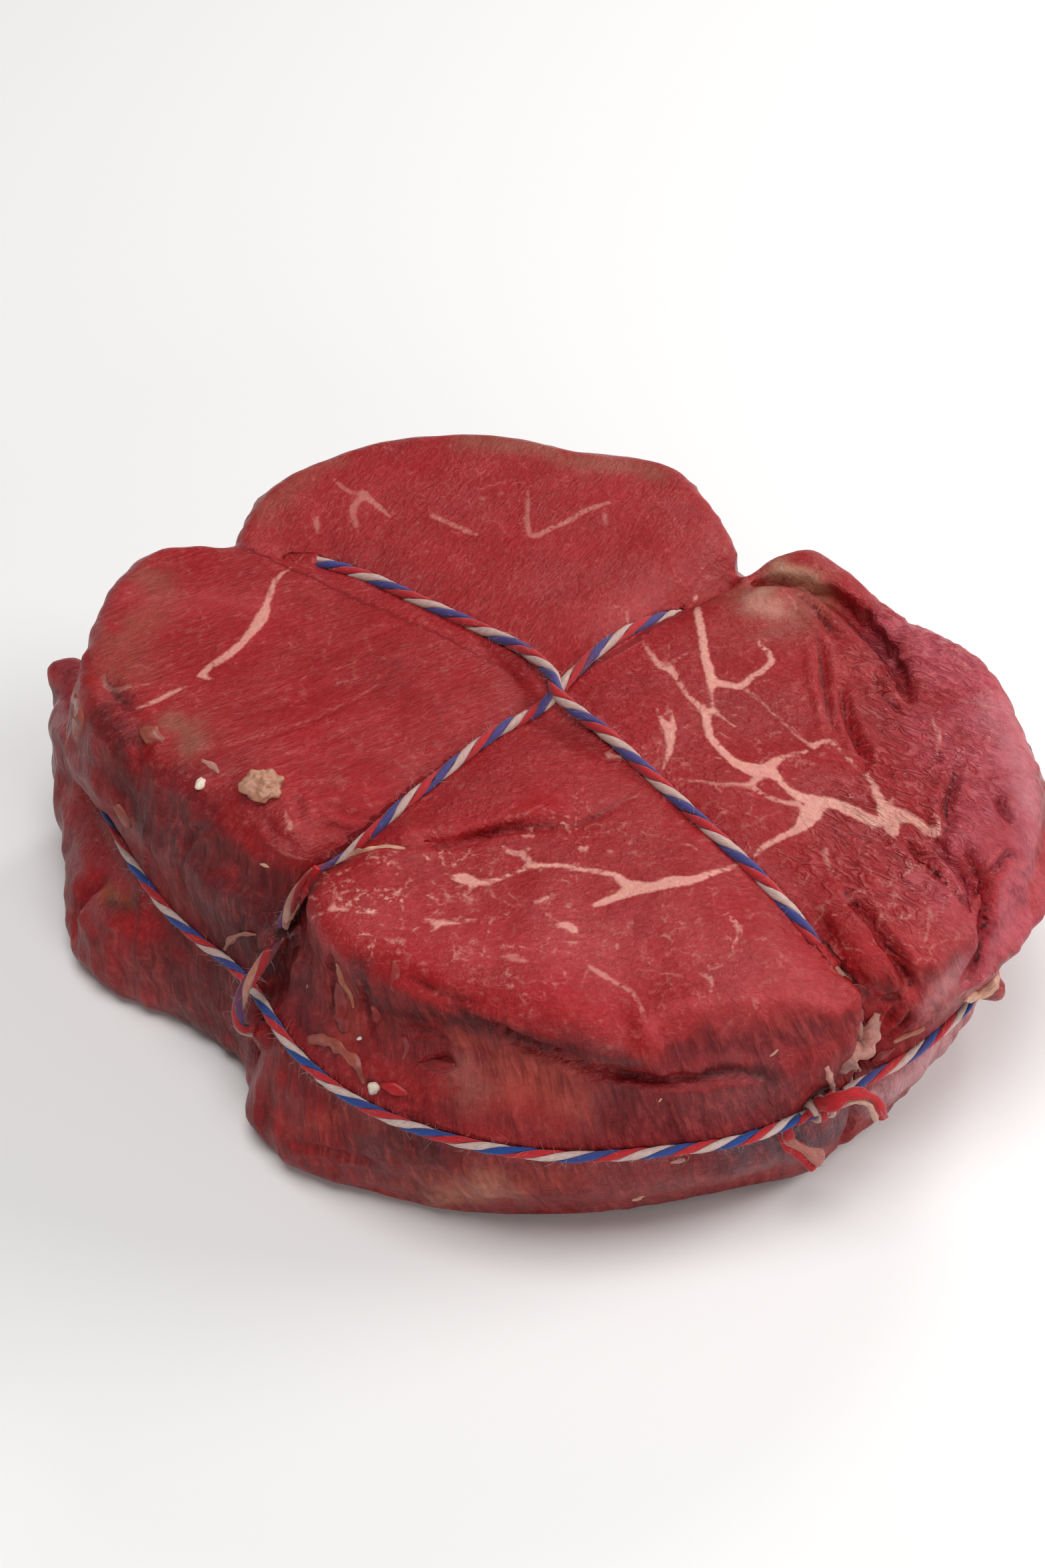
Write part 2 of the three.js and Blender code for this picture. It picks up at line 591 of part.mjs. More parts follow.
function meatSolid() {
  let meat = solidOf(medallionBlank());
  for (const { at, size, turn } of Object.values(FAT_BITS)) {
    const place = new THREE.Vector3(at[0], at[1], topHeight(...at) + size[2] * 0.2);
    meat = meat.add(fatLump(size, turn, place));
  }
  for (const { angle, radius, height, size, turn } of [FAT_TAB, FLAP_TIP]) {
    meat = meat.add(fatLump(size, turn, polar(angle, radius, height)));
  }
  for (const slit of Object.values(SLITS)) meat = meat.subtract(openSlit(slit));
  for (const slit of Object.values(SIDE_SLITS)) meat = meat.subtract(sideSlit(slit));
  const bed = TWINE_RADIUS + TWINE_GAP;
  meat = meat.subtract(solidOf(closedTwine(crossA, bed)));
  meat = meat.subtract(solidOf(closedTwine(crossB, bed)));
  for (const route of [ring, upperTail, lowerTail]) {
    meat = meat.subtract(solidOf(openTwine(route, bed)));
  }
  meat = meat.subtract(solidOf(knotBlank(TWINE_GAP)));
  meat = meat.simplify(FACET_TOLERANCE);
  const pieces = meat.decompose().sort((one, other) => other.volume() - one.volume());
  return pieces[0];
}

addNode('meat', geometryOf(meatSolid()), '#8e2a30', 0.45);
addNode('twine_cross_a', closedTwine(crossA, TWINE_RADIUS), '#b98f94', 0.9);
addNode('twine_cross_b', closedTwine(crossB, TWINE_RADIUS), '#b98f94', 0.9);
addNode('twine_ring', openTwine(ring, TWINE_RADIUS), '#8f8fb4', 0.9);
addNode('twine_knot', knotBlank(0), '#a8565e', 0.9);
addNode('twine_tail_upper', openTwine(upperTail, TWINE_RADIUS), '#b3262e', 0.9);
addNode('twine_tail_lower', openTwine(lowerTail, TWINE_RADIUS), '#c77f78', 0.9);

export default tournedos;
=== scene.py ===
"""The looks of a raw beef tournedos tied with butcher's twine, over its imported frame.

Laid out as a Blender add-on and run as a script. Lengths in the tables are millimetres,
in the medallion's own frame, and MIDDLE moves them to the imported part's frame, in metres.
A pixel is a place in the reference picture, 1568 by 2352, seen through the stage's camera.
"""

import json
import math
import random
from functools import partial

import bpy
import numpy as np
from bpy.props import FloatProperty, FloatVectorProperty, IntProperty, PointerProperty
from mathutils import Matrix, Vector, noise
from mathutils.bvhtree import BVHTree

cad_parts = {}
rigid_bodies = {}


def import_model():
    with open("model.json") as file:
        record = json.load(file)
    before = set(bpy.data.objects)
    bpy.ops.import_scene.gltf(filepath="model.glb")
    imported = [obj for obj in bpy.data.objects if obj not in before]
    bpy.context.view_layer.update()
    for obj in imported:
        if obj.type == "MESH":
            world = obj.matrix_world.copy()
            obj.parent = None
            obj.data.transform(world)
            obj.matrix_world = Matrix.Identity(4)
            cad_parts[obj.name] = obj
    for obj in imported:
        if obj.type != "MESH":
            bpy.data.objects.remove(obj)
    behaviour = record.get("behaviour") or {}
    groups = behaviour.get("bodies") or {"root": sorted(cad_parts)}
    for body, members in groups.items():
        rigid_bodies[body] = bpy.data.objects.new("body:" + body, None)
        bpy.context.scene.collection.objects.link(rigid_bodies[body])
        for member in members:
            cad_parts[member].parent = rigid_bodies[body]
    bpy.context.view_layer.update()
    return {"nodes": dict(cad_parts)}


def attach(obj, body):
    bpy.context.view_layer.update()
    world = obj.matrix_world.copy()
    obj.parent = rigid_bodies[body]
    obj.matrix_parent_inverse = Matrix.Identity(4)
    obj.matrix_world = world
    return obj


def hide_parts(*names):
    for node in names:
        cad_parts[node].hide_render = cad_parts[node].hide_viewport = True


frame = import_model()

bl_info = {
    "name": "Raw Beef Tournedos",
    "version": (1, 0, 0),
    "blender": (4, 5, 0),
    "location": "View3D > Sidebar > Tournedos",
    "description": "Moist marbled beef, three-ply butcher's twine and a pale stage",
    "category": "Add Mesh",
}

MM = 0.001
FAR = 1.0                               # metres, past everything on the part
MIDDLE = np.array([1.7, 1.5, 0.0])      # from the medallion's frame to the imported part's

# ------------------------------------------------------------------ the camera's view

PICTURE = (1568, 2352)
SENSOR = 36.0                            # mm, along the picture's long side
FOCAL_PIXELS = 4590
ELEVATION = math.radians(45)
VIEW_DISTANCE = 0.3
AIM = Vector((-0.0013, 0.0035, 0.016))
TOWARDS_CAMERA = Vector((0, -math.cos(ELEVATION), math.sin(ELEVATION)))
CAMERA_AT = AIM + TOWARDS_CAMERA * VIEW_DISTANCE
PICTURE_UP = Vector((0, math.sin(ELEVATION), math.cos(ELEVATION)))

# ------------------------------------------------------------------ the twine's routes

# The same points as in the part's source, in millimetres.
CROSS_A = [
    (-31.6, 21.8, 7), (-32.5, 22.3, 14), (-31.1, 21.5, 22), (-28.5, 20.7, 27.4),
    (-25, 20.8, 28.5), (-19, 18, 29.2), (-12.8, 13.3, 29.8), (-6.8, 8.8, 30.2),
    (-2.8, 4.9, 31.1), (-0.2, 0.8, 31.7), (0.4, -2, 31.8), (4.9, -6.8, 31.2),
    (8.9, -11.2, 30.2), (13.4, -16.6, 29.5), (17.7, -21.4, 28.4), (21.4, -25.8, 26.9),
    (24.4, -30.4, 25.2), (26, -31.9, 24), (26.9, -32, 19), (26.6, -31.7, 13),
    (26.4, -31.4, 7), (25.4, -30.2, 2.2), (24.1, -28.7, 0.8), (22.8, -27.2, 0.8),
    (12, -14.4, 0.8), (3.9, -4.6, 0.8), (1.5, -1.8, 0.8), (-2, 1.4, 0.8), (-4.9, 3.4, 0.8),
    (-15, 10.3, 0.8), (-28.3, 19.5, 0.8), (-29.9, 20.6, 0.8), (-31.6, 21.8, 2.2),
]
CROSS_B = [
    (24.9, 25.2, 7), (24.9, 25.2, 13), (22, 22.4, 19), (19.5, 19.8, 23.2), (18, 18.6, 23.5),
    (14.4, 16, 25.9), (10.6, 12.6, 28.3), (7.4, 9.2, 29.8), (4.4, 5.9, 30.3),
    (1.8, 2.5, 30.2), (-1.5, -2.2, 30.1), (-5.5, -5.5, 30.3), (-9.8, -9.9, 29.9),
    (-13.8, -13.8, 29.2), (-17.2, -17, 28), (-19.8, -19, 26.8), (-22, -20.1, 26.4),
    (-23.8, -21.1, 24.2), (-25.2, -22.5, 21.2), (-26.8, -24.1, 18.9), (-28.4, -25.6, 17.2),
    (-29.1, -26.2, 14.9), (-29, -26.1, 12.4), (-27.7, -25.1, 10.4), (-26.8, -24.6, 8.2),
    (-26.9, -24.9, 5.4), (-28.3, -26.2, 2.2), (-26.8, -24.8, 0.8), (-25.4, -23.5, 0.8),
    (-13.4, -12.4, 0.8), (-4.4, -4.1, 1.2), (-1.8, -1.6, 2.2), (1.7, 1.7, 2.2),
    (4.2, 4.3, 1.2), (10.8, 11, 0.8), (20.3, 20.5, 0.8), (21.7, 22, 0.8), (23.1, 23.4, 2.2),
]
RING_LEVEL = 14
RING = [
    (21.8, -38.1), (16.8, -40.5), (8.8, -42), (0.9, -42.5), (-6.5, -41.4), (-13.2, -39),
    (-18.8, -35.6), (-23, -31.4), (-25.9, -26.9), (-27.8, -23.2), (-30.3, -19.9),
    (-33.4, -16.9), (-36.5, -13.4), (-39, -9.6), (-41.1, -5.9), (-43, -1.7), (-44.7, 2.4),
    (-46, 7.5), (-45.7, 13), (-43.4, 19.4), (-39.2, 25.4), (-33, 30.8), (-25.5, 35),
    (-17, 37.8), (-8, 39.1), (1.5, 38.8), (10.5, 37.3), (19, 34.7), (27, 30.8),
    (33.6, 25.8), (38.8, 19.8), (42.6, 13), (44.8, 6), (45.6, -1), (45.2, -8),
    (43.2, -14.4), (40.6, -20.2), (37.6, -25.4), (33.1, -30.2), (29.3, -33), (25.8, -35.2),
]
TAIL_UPPER = [
    (23.4, -37.2, 14.8), (24.6, -38.2, 16.2), (25.7, -38.1, 16.9), (26.9, -37.8, 16.8),
    (28.2, -37.6, 15.7), (28.8, -37.7, 14.3), (29, -37.6, 13.2),
]
TAIL_LOWER = [
    (20.4, -38.4, 13), (20.7, -38.7, 11.7), (21.8, -38.7, 10.5), (22.9, -38.7, 9.4), (24, -38.8, 8.6),
]

# ------------------------------------------------------------------ marks on the meat

# Veins of fat in the cut face, and a few painted glints along the left lobe's fibres drawn like them:
# strength, and pixels along each with the half width there.
VEINS = {
    "trunk_upper": (1.0, [(1044, 896, 4), (1048, 927, 6), (1054, 956, 6), (1057, 980, 6),
        (1063, 1002, 7), (1069, 1026, 8)]),
    "hook": (0.9, [(1066, 1022, 7), (1089, 1027, 6), (1112, 1029, 6), (1126, 1016, 5), (1144, 1006, 5),
        (1157, 991, 5), (1153, 977, 4), (1141, 968, 3), (1139, 960, 1)]),
    "hook_tail": (0.6, [(1114, 1030, 4), (1139, 1050, 2), (1162, 1072, 1.5), (1180, 1088, 1.5),
        (1198, 1106, 2), (1216, 1118, 2.5)]),
    "long_branch": (0.9, [(1216, 1118, 2.5), (1234, 1113, 4), (1250, 1113, 4), (1262, 1127, 2),
        (1280, 1145, 2.5), (1300, 1161, 3.5), (1310, 1179, 5), (1319, 1198, 8)]),
    "inner_arc": (0.85, [(962, 958, 1), (973, 977, 3), (982, 988, 4), (991, 1000, 5), (1005, 1004, 6),
        (1014, 1015, 4), (1023, 1031, 3), (1034, 1045, 4), (1048, 1058, 5), (1060, 1068, 7),
        (1075, 1066, 4)]),
    "inner_spur_a": (0.5, [(1003, 965, 1), (1001, 979, 2), (1000, 1002, 3)]),
    "inner_spur_b": (0.5, [(1037, 977, 1), (1021, 984, 2), (1005, 998, 2.5)]),
    "inner_spur_c": (0.35, [(923, 1013, 1), (941, 1011, 2), (971, 993, 1.5), (973, 980, 2)]),
    "trunk_neck": (0.85, [(1066, 1028, 5), (1067, 1047, 2.5), (1068, 1062, 3)]),
    "trunk": (1.0, [(1057, 1070, 6), (1062, 1090, 6), (1066, 1106, 6), (1080, 1122, 6), (1096, 1138, 7),
        (1112, 1148, 10), (1135, 1155, 14), (1153, 1156, 12), (1171, 1171, 6), (1184, 1185, 5),
        (1200, 1195, 9), (1216, 1200, 11), (1243, 1204, 10), (1271, 1213, 10), (1295, 1225, 9),
        (1313, 1234, 9)]),
    "trunk_whisker": (0.6, [(1075, 1068, 2.5), (1094, 1084, 1.5), (1112, 1093, 1.2), (1123, 1088, 1)]),
    "upper_wing": (0.9, [(1150, 1154, 10), (1162, 1143, 7), (1180, 1134, 4), (1203, 1129, 2.5),
        (1226, 1120, 1.5)]),
    "wing_whisker": (0.35, [(1153, 1120, 1), (1157, 1102, 1.2), (1153, 1084, 1), (1168, 1079, 1)]),
    "lower_web": (0.75, [(1198, 1206, 6), (1171, 1202, 3.5), (1148, 1193, 3), (1126, 1180, 4),
        (1112, 1177, 4), (1080, 1177, 3), (1053, 1172, 2), (1030, 1170, 1.5), (1007, 1169, 1.5)]),
    "web_link": (0.8, [(1126, 1178, 5), (1135, 1168, 6), (1146, 1160, 7)]),
    "delta": (1.0, [(1319, 1198, 6), (1328, 1213, 13), (1335, 1228, 17), (1340, 1246, 9)]),
    "delta_right": (0.95, [(1334, 1222, 16), (1357, 1225, 11), (1373, 1231, 6), (1389, 1243, 7),
        (1403, 1251, 7), (1409, 1243, 5), (1407, 1227, 2.5), (1398, 1220, 1.5)]),
    "delta_spur": (0.7, [(1328, 1211, 7), (1336, 1203, 4), (1344, 1195, 1.5)]),
    "big_branch": (1.0, [(1224, 1206, 15), (1216, 1220, 16), (1209, 1231, 13), (1198, 1243, 8),
        (1180, 1252, 5), (1162, 1261, 4.5), (1146, 1270, 4.5), (1134, 1282, 3)]),
    "y_shape": (0.9, [(986, 1064, 1.5), (993, 1079, 3.5), (1000, 1088, 7), (1005, 1102, 8),
        (1006, 1116, 6), (1003, 1129, 4), (999, 1143, 3), (996, 1156, 2)]),
    "y_prong": (0.85, [(1002, 1054, 1.5), (1005, 1068, 3.5), (1010, 1081, 3), (1010, 1094, 5)]),
    "outer_tick": (0.7, [(1398, 1074, 1), (1403, 1090, 2.5), (1409, 1104, 4), (1408, 1120, 3.5),
        (1402, 1138, 1.5)]),
    "below_web": (0.6, [(1239, 1274, 4), (1239, 1291, 4), (1248, 1302, 2)]),
    "below_web_spur": (0.5, [(1228, 1279, 1), (1240, 1281, 3)]),
    "twine_edge": (0.7, [(912, 1129, 3), (915, 1138, 4), (930, 1134, 3), (948, 1147, 3),
        (962, 1174, 1)]),
    "wedge_tick": (0.45, [(937, 1202, 1), (953, 1195, 1.5), (969, 1186, 1)]),
    "wedge_streak": (0.5, [(862, 1196, 1), (880, 1207, 1.5), (885, 1222, 1.5)]),
    "streak_over_front": (0.45, [(962, 1245, 1), (971, 1252, 2), (994, 1256, 1.5), (1016, 1263, 1.5),
        (1039, 1270, 2.5), (1050, 1277, 1)]),
    "front_main": (1.0, [(1116, 1297, 4), (1090, 1303, 4), (1067, 1310, 5), (1038, 1320, 7),
        (1010, 1322, 11), (981, 1330, 8), (952, 1332, 13), (938, 1325, 8), (924, 1313, 5),
        (900, 1308, 4), (876, 1305, 4), (852, 1299, 4), (828, 1298, 3), (800, 1299, 5), (781, 1306, 3),
        (762, 1313, 3), (743, 1320, 4), (719, 1324, 6), (695, 1318, 11), (676, 1315, 3)]),
    "front_fork": (1.0, [(952, 1334, 11), (928, 1344, 8), (909, 1351, 6), (890, 1358, 3)]),
    "front_up": (0.9, [(800, 1299, 5), (790, 1287, 5), (781, 1280, 4), (767, 1279, 3.5),
        (755, 1270, 2)]),
    "front_up_spur": (0.7, [(781, 1280, 3), (795, 1272, 2), (814, 1270, 1)]),
    "front_dot": (0.7, [(784, 1254, 2), (792, 1252, 5), (800, 1254, 2)]),
    "front_left_drop": (0.85, [(716, 1325, 4), (705, 1333, 3), (694, 1344, 2), (709, 1348, 3),
        (705, 1357, 1.5)]),
    "front_thin_arc": (0.6, [(733, 1326, 2.5), (736, 1339, 1.8), (752, 1351, 1.2), (774, 1360, 1)]),
    "front_comma": (0.85, [(800, 1356, 1.5), (814, 1349, 4), (832, 1344, 1.5)]),
    "front_blot": (0.9, [(830, 1389, 1.5), (847, 1387, 6), (859, 1393, 8), (865, 1402, 2)]),
    "front_blot_low": (0.6, [(846, 1413, 1), (858, 1415, 4), (868, 1412, 1)]),
    "front_bar": (0.95, [(636, 1376, 1.5), (650, 1384, 5), (660, 1384, 6), (686, 1384, 3),
        (705, 1380, 2.5), (724, 1382, 1)]),
    "front_bar_leg": (0.85, [(658, 1384, 5), (654, 1393, 3), (646, 1399, 1)]),
    "front_right_tick": (0.85, [(1090, 1371, 1), (1099, 1380, 3), (1108, 1388, 5), (1110, 1398, 3),
        (1102, 1415, 1.5)]),
    "front_right_spur": (0.7, [(1106, 1388, 4), (1116, 1389, 1.5)]),
    "front_small_tick": (0.6, [(950, 1381, 1), (943, 1386, 2.5), (944, 1394, 1.5), (948, 1404, 1)]),
    "front_small_dash": (0.6, [(927, 1416, 1.5), (923, 1423, 2.5), (918, 1430, 1)]),
    "front_edge_glow": (0.45, [(750, 1436, 2), (772, 1436, 7), (790, 1442, 2)]),
    "front_edge_pale": (0.55, [(884, 1450, 3), (905, 1463, 5), (930, 1478, 3), (948, 1488, 3),
        (960, 1508, 3), (967, 1528, 2)]),
    "front_low_tick": (0.7, [(1050, 1459, 1), (1058, 1464, 3), (1067, 1468, 4), (1064, 1484, 1.5)]),
    "front_low_dash": (0.4, [(950, 1458, 1.5), (985, 1458, 2), (1024, 1465, 1)]),
    "front_net_a": (0.85, [(468, 1378, 1), (484, 1370, 2), (500, 1363, 3), (524, 1365, 2),
        (557, 1369, 2.5), (574, 1367, 1)]),
    "front_net_b": (0.7, [(500, 1363, 2.5), (498, 1349, 1.5), (502, 1334, 1.2)]),
    "front_net_c": (0.7, [(456, 1346, 1.5), (466, 1346, 2), (477, 1350, 1)]),
    "front_net_d": (0.7, [(502, 1346, 1.2), (512, 1340, 1.5), (524, 1335, 1.5), (548, 1336, 2),
        (557, 1348, 1)]),
    "left_vein": (0.85, [(446, 842, 1), (430, 856, 1.5), (414, 868, 4), (407, 887, 4), (400, 906, 5),
        (393, 926, 10), (380, 944, 8), (364, 963, 6), (340, 984, 7), (318, 998, 5), (302, 1013, 6),
        (318, 1018, 2)]),
    "left_second": (0.75, [(280, 1029, 2), (254, 1041, 5), (231, 1053, 4), (205, 1063, 2.5)]),
    "left_third": (0.5, [(154, 1013, 3), (160, 1030, 4), (172, 1037, 4), (197, 1029, 3),
        (224, 1026, 1.5)]),
    # Painted glints along the fibres of the left lobe, drawn as thin pale veins.
    "left_fibre_a": (0.3, [(340, 1118, 1), (400, 1100, 1.2), (460, 1082, 1), (520, 1054, 1.2),
        (566, 1028, 1)]),
    "left_fibre_b": (0.25, [(300, 1070, 1), (360, 1052, 1), (430, 1030, 1)]),
    "left_fibre_c": (0.25, [(430, 1130, 1), (500, 1104, 1), (560, 1075, 1)]),
    "left_fold_vein": (0.55, [(424, 1212, 1), (430, 1226, 3), (436, 1240, 4), (428, 1248, 2)]),
    "left_fold_vein_low": (0.4, [(400, 1262, 1), (424, 1278, 2), (450, 1288, 2), (470, 1292, 1)]),
    "back_vee": (0.42, [(788, 725, 2), (791, 752, 3), (790, 775, 4), (793, 795, 4), (800, 805, 5),
        (825, 793, 4), (850, 783, 4), (880, 765, 5), (925, 751, 2)]),
    "back_dash": (0.38, [(648, 773, 5), (675, 785, 4), (700, 796, 5), (716, 803, 3)]),
    "back_left": (0.42, [(545, 740, 6), (560, 754, 5), (575, 766, 4), (586, 776, 2)]),
    "back_left_low": (0.36, [(545, 742, 5), (530, 762, 6), (531, 778, 4), (535, 790, 4)]),
    "back_left_up": (0.28, [(500, 718, 3), (525, 738, 4), (545, 740, 4)]),
    "back_far": (0.22, [(710, 736, 2), (740, 727, 3), (772, 719, 2)]),
    "back_spot": (0.35, [(474, 776, 3), (475, 788, 5), (478, 800, 2)]),
    "back_right": (0.3, [(903, 765, 2), (908, 775, 4), (911, 790, 2)]),
    "back_low": (0.4, [(908, 912, 1), (930, 910, 1.5), (940, 918, 3), (942, 935, 2)]),
    "right_net_a": (0.45, [(1310, 1310, 1), (1322, 1322, 2), (1345, 1330, 2), (1372, 1328, 1)]),
    "right_net_b": (0.45, [(1345, 1330, 2), (1338, 1352, 2), (1322, 1372, 3), (1318, 1390, 1.5)]),
    "right_net_c": (0.45, [(1390, 1332, 1), (1394, 1360, 2), (1396, 1374, 3), (1390, 1400, 2),
        (1386, 1420, 1)]),
    "right_net_d": (0.35, [(1396, 1374, 2), (1412, 1366, 1.5), (1424, 1350, 1)]),
    "notch_thread": (0.4, [(1174, 884, 2), (1190, 900, 3), (1196, 918, 1.5)]),
    "outer_milk_a": (0.35, [(1440, 1050, 3), (1480, 1058, 4), (1510, 1068, 2)]),
    "outer_milk_b": (0.3, [(1412, 972, 3), (1450, 1000, 4), (1490, 1040, 3)]),
}

# Painted tones: colour name, half width in mm, strength, and pixels along each. Some of them are painted
# shade and painted sheen, as marked.
TONES = {
    "olive_rim_upper": ("olive", 2.0, 0.5, [(225, 870), (240, 895), (238, 918), (212, 934)]),
    "olive_rim_lower": ("olive", 1.4, 0.7, [(258, 1084), (280, 1096), (300, 1106), (282, 1122)]),
    "olive_corner": ("olive", 2.4, 0.35, [(160, 955), (196, 978), (188, 1010)]),
    "olive_back_edge": ("olive", 1.5, 0.55, [(700, 662), (760, 664), (810, 674), (860, 692), (920, 698),
        (985, 706)]),
    "olive_back_left": ("olive", 1.8, 0.35, [(500, 690), (440, 726), (400, 762)]),
    "olive_notch": ("olive", 2.6, 0.5, [(1118, 888), (1150, 920), (1180, 930), (1222, 902)]),
    "cream_notch": ("fat", 1.3, 0.4, [(1136, 905), (1160, 915), (1166, 905)]),
    "notch_fat": ("cream", 1.3, 0.95, [(1138, 850), (1166, 856), (1196, 862), (1226, 878)]),
    "notch_fat_shade": ("clay", 1.0, 0.7, [(1160, 880), (1200, 886), (1236, 900)]),
    "milky_rim": ("pale", 2.2, 0.4, [(200, 890), (250, 905), (320, 900), (390, 905)]),
    "left_lean": ("lean", 3.0, 0.3, [(250, 950), (300, 960)]),
    "deep_left": ("deep", 5.0, 0.45, [(560, 1000), (640, 1040), (720, 1020)]),
    "deep_wedge": ("deep", 3.2, 0.35, [(700, 1150), (780, 1110), (850, 1120)]),
    "deep_centre": ("deep", 2.6, 0.45, [(880, 1040), (930, 1060), (990, 1040)]),
    "deep_right": ("deep", 2.2, 0.35, [(1090, 980), (1090, 1070), (1150, 1110), (1220, 1160)]),
    # Painted sheen on the front lobe's top.
    "pale_front": ("pale", 4.5, 0.4, [(560, 1390), (680, 1400), (820, 1420), (900, 1430)]),
    "pale_front_right": ("pale", 3.6, 0.35, [(1000, 1380), (1080, 1440), (1180, 1450)]),
    "lip_red": ("bright", 1.2, 0.9, [(596, 1250), (650, 1252), (700, 1242), (760, 1224), (830, 1206)]),
    "band_red": ("bright", 1.9, 0.95, [(480, 1398), (540, 1424), (600, 1452), (680, 1478), (760, 1492),
        (840, 1500), (900, 1526), (948, 1560), (972, 1592)]),
    "band_red_low": ("bright", 1.2, 0.7, [(740, 1520), (790, 1510), (850, 1515)]),
    "band_foot": ("maroon", 1.7, 0.7, [(720, 1545), (800, 1562), (880, 1584), (930, 1598)]),
    "facet": ("purple", 1.9, 0.35, [(1010, 1580), (1080, 1576), (1160, 1566), (1240, 1552)]),
    # A painted highlight along the facet's upper edge.
    "facet_edge": ("pale", 0.6, 0.6, [(978, 1540), (1010, 1512), (1060, 1502), (1120, 1496),
        (1190, 1492), (1260, 1508)]),
    # Painted shade in the crack below the facet.
    "facet_crack": ("night", 0.8, 0.7, [(1060, 1612), (1110, 1606), (1160, 1618)]),
    "column": ("purple", 3.2, 0.65, [(440, 1410), (440, 1480), (480, 1540)]),
    # Painted shade in the pocket under the band's ledge.
    "pocket": ("night", 1.3, 0.6, [(545, 1450), (556, 1490), (590, 1520), (640, 1522), (690, 1530)]),
    "ember_left": ("ember", 1.3, 0.6, [(516, 1480), (522, 1520), (518, 1548)]),
    "ember_side": ("ember", 2.2, 0.7, [(720, 1610), (770, 1625), (820, 1640), (860, 1650)]),
    "ember_side_up": ("ember", 1.2, 0.6, [(690, 1560), (740, 1572), (800, 1600), (850, 1612)]),
    "ember_low": ("ember", 2.0, 0.4, [(730, 1770), (800, 1770), (860, 1760)]),
    "ember_far_left": ("ember", 1.2, 0.35, [(430, 1690), (500, 1680), (520, 1670)]),
    "dusk_side": ("purple", 3.2, 0.5, [(940, 1660), (1040, 1670), (1130, 1650)]),
    "dusk_low": ("maroon", 3.0, 0.7, [(560, 1730), (620, 1700), (660, 1740)]),
    "mauve_right": ("mauve", 1.4, 0.5, [(1385, 1506), (1412, 1486), (1436, 1456)]),
    "mauve_low": ("mauve", 2.6, 0.95, [(1320, 1645), (1370, 1612), (1410, 1565)]),
    "mauve_knot": ("plum", 2.8, 0.9, [(1120, 1722), (1190, 1712), (1262, 1694)]),
    "rose_rim": ("rose", 3.6, 0.7, [(1360, 920), (1420, 985), (1480, 1040), (1520, 1120), (1545, 1220),
        (1535, 1330), (1500, 1410)]),
    "rose_lobe": ("rose", 3.0, 0.4, [(1390, 1090), (1440, 1170), (1450, 1260), (1400, 1330)]),
    "cushion": ("bright", 1.6, 0.4, [(1240, 1360), (1280, 1410), (1320, 1460)]),
    "mauve_outer": ("mauve", 1.4, 0.35, [(1480, 1050), (1520, 1130), (1545, 1210)]),
    "plum_outer": ("plum", 1.6, 0.25, [(1500, 1180), (1530, 1240), (1545, 1300)]),
    "clay": ("clay", 2.6, 0.9, [(660, 1800), (700, 1790), (735, 1780)]),
    "clay_up": ("clay", 1.6, 0.45, [(700, 1620), (705, 1640)]),
    # Painted shade in the crease between the flap and the body: a brown shadow and a dark line beside
    # it.
    "rust": ("rust", 0.9, 0.9, [(160, 1338), (178, 1348), (196, 1356)]),
    "rust_left": ("night", 1.2, 0.7, [(168, 1352), (190, 1362), (205, 1356)]),
    # Painted shade in the valley at the far left.
    "valley": ("night", 1.6, 0.6, [(160, 1080), (172, 1130), (192, 1176), (202, 1226)]),
    "valley_up": ("maroon", 1.6, 0.45, [(160, 1056), (186, 1060), (196, 1090)]),
    # Painted shade on the left roll.
    "roll_shade": ("maroon", 5.0, 0.8, [(256, 1240), (300, 1300), (340, 1400), (390, 1360)]),
    "roll_low": ("maroon", 4.0, 0.6, [(250, 1440), (320, 1500), (300, 1540)]),
    "roll_red": ("bright", 1.0, 0.4, [(364, 1256), (400, 1284), (450, 1300)]),
    "left_wet": ("bright", 1.6, 0.45, [(430, 1180), (480, 1200), (520, 1220)]),
    "right_red": ("bright", 1.5, 0.9, [(1328, 1552), (1344, 1524), (1372, 1500)]),
    "bulge_red": ("bright", 1.2, 0.7, [(1236, 1430), (1280, 1476), (1312, 1504)]),
    "fold_red_a": ("bright", 0.7, 0.7, [(1358, 1258), (1392, 1296), (1420, 1322)]),
    "fold_red_b": ("bright", 0.7, 0.7, [(1258, 1040), (1275, 1090), (1298, 1136)]),
    "fold_red_c": ("bright", 0.9, 0.7, [(1452, 1290), (1474, 1340), (1470, 1410)]),
    # Painted shadow in the hole, and painted shade down the notch's gap and side.
    "hole": ("hole", 0.8, 1.0, [(486, 1306), (498, 1301), (510, 1295)]),
    "notch_gap": ("night", 1.1, 0.9, [(424, 1396), (406, 1428), (388, 1458), (372, 1480)]),
    "notch_side": ("night", 0.9, 0.7, [(470, 1330), (452, 1372), (436, 1404)]),
    "flap_red": ("blood", 1.0, 0.6, [(70, 1004), (78, 1016)]),
    "flap_mark": ("blood", 1.2, 0.7, [(122, 1290), (132, 1306), (142, 1318)]),
    "flap_foot": ("blood", 1.2, 0.6, [(176, 1440), (190, 1410), (196, 1380)]),
    "rim_spot": ("blood", 0.7, 0.95, [(168, 936), (171, 944)]),
    "flap_haze": ("haze", 2.4, 0.45, [(110, 980), (92, 1010), (92, 1080)]),
    "flap_haze_low": ("haze", 1.8, 0.5, [(104, 1230), (112, 1260), (110, 1300)]),
    "corner_fat": ("fat", 0.8, 0.5, [(108, 1046), (118, 1070), (112, 1100)]),
    "front_milk": ("haze", 1.6, 0.3, [(700, 1600), (712, 1636)]),
}
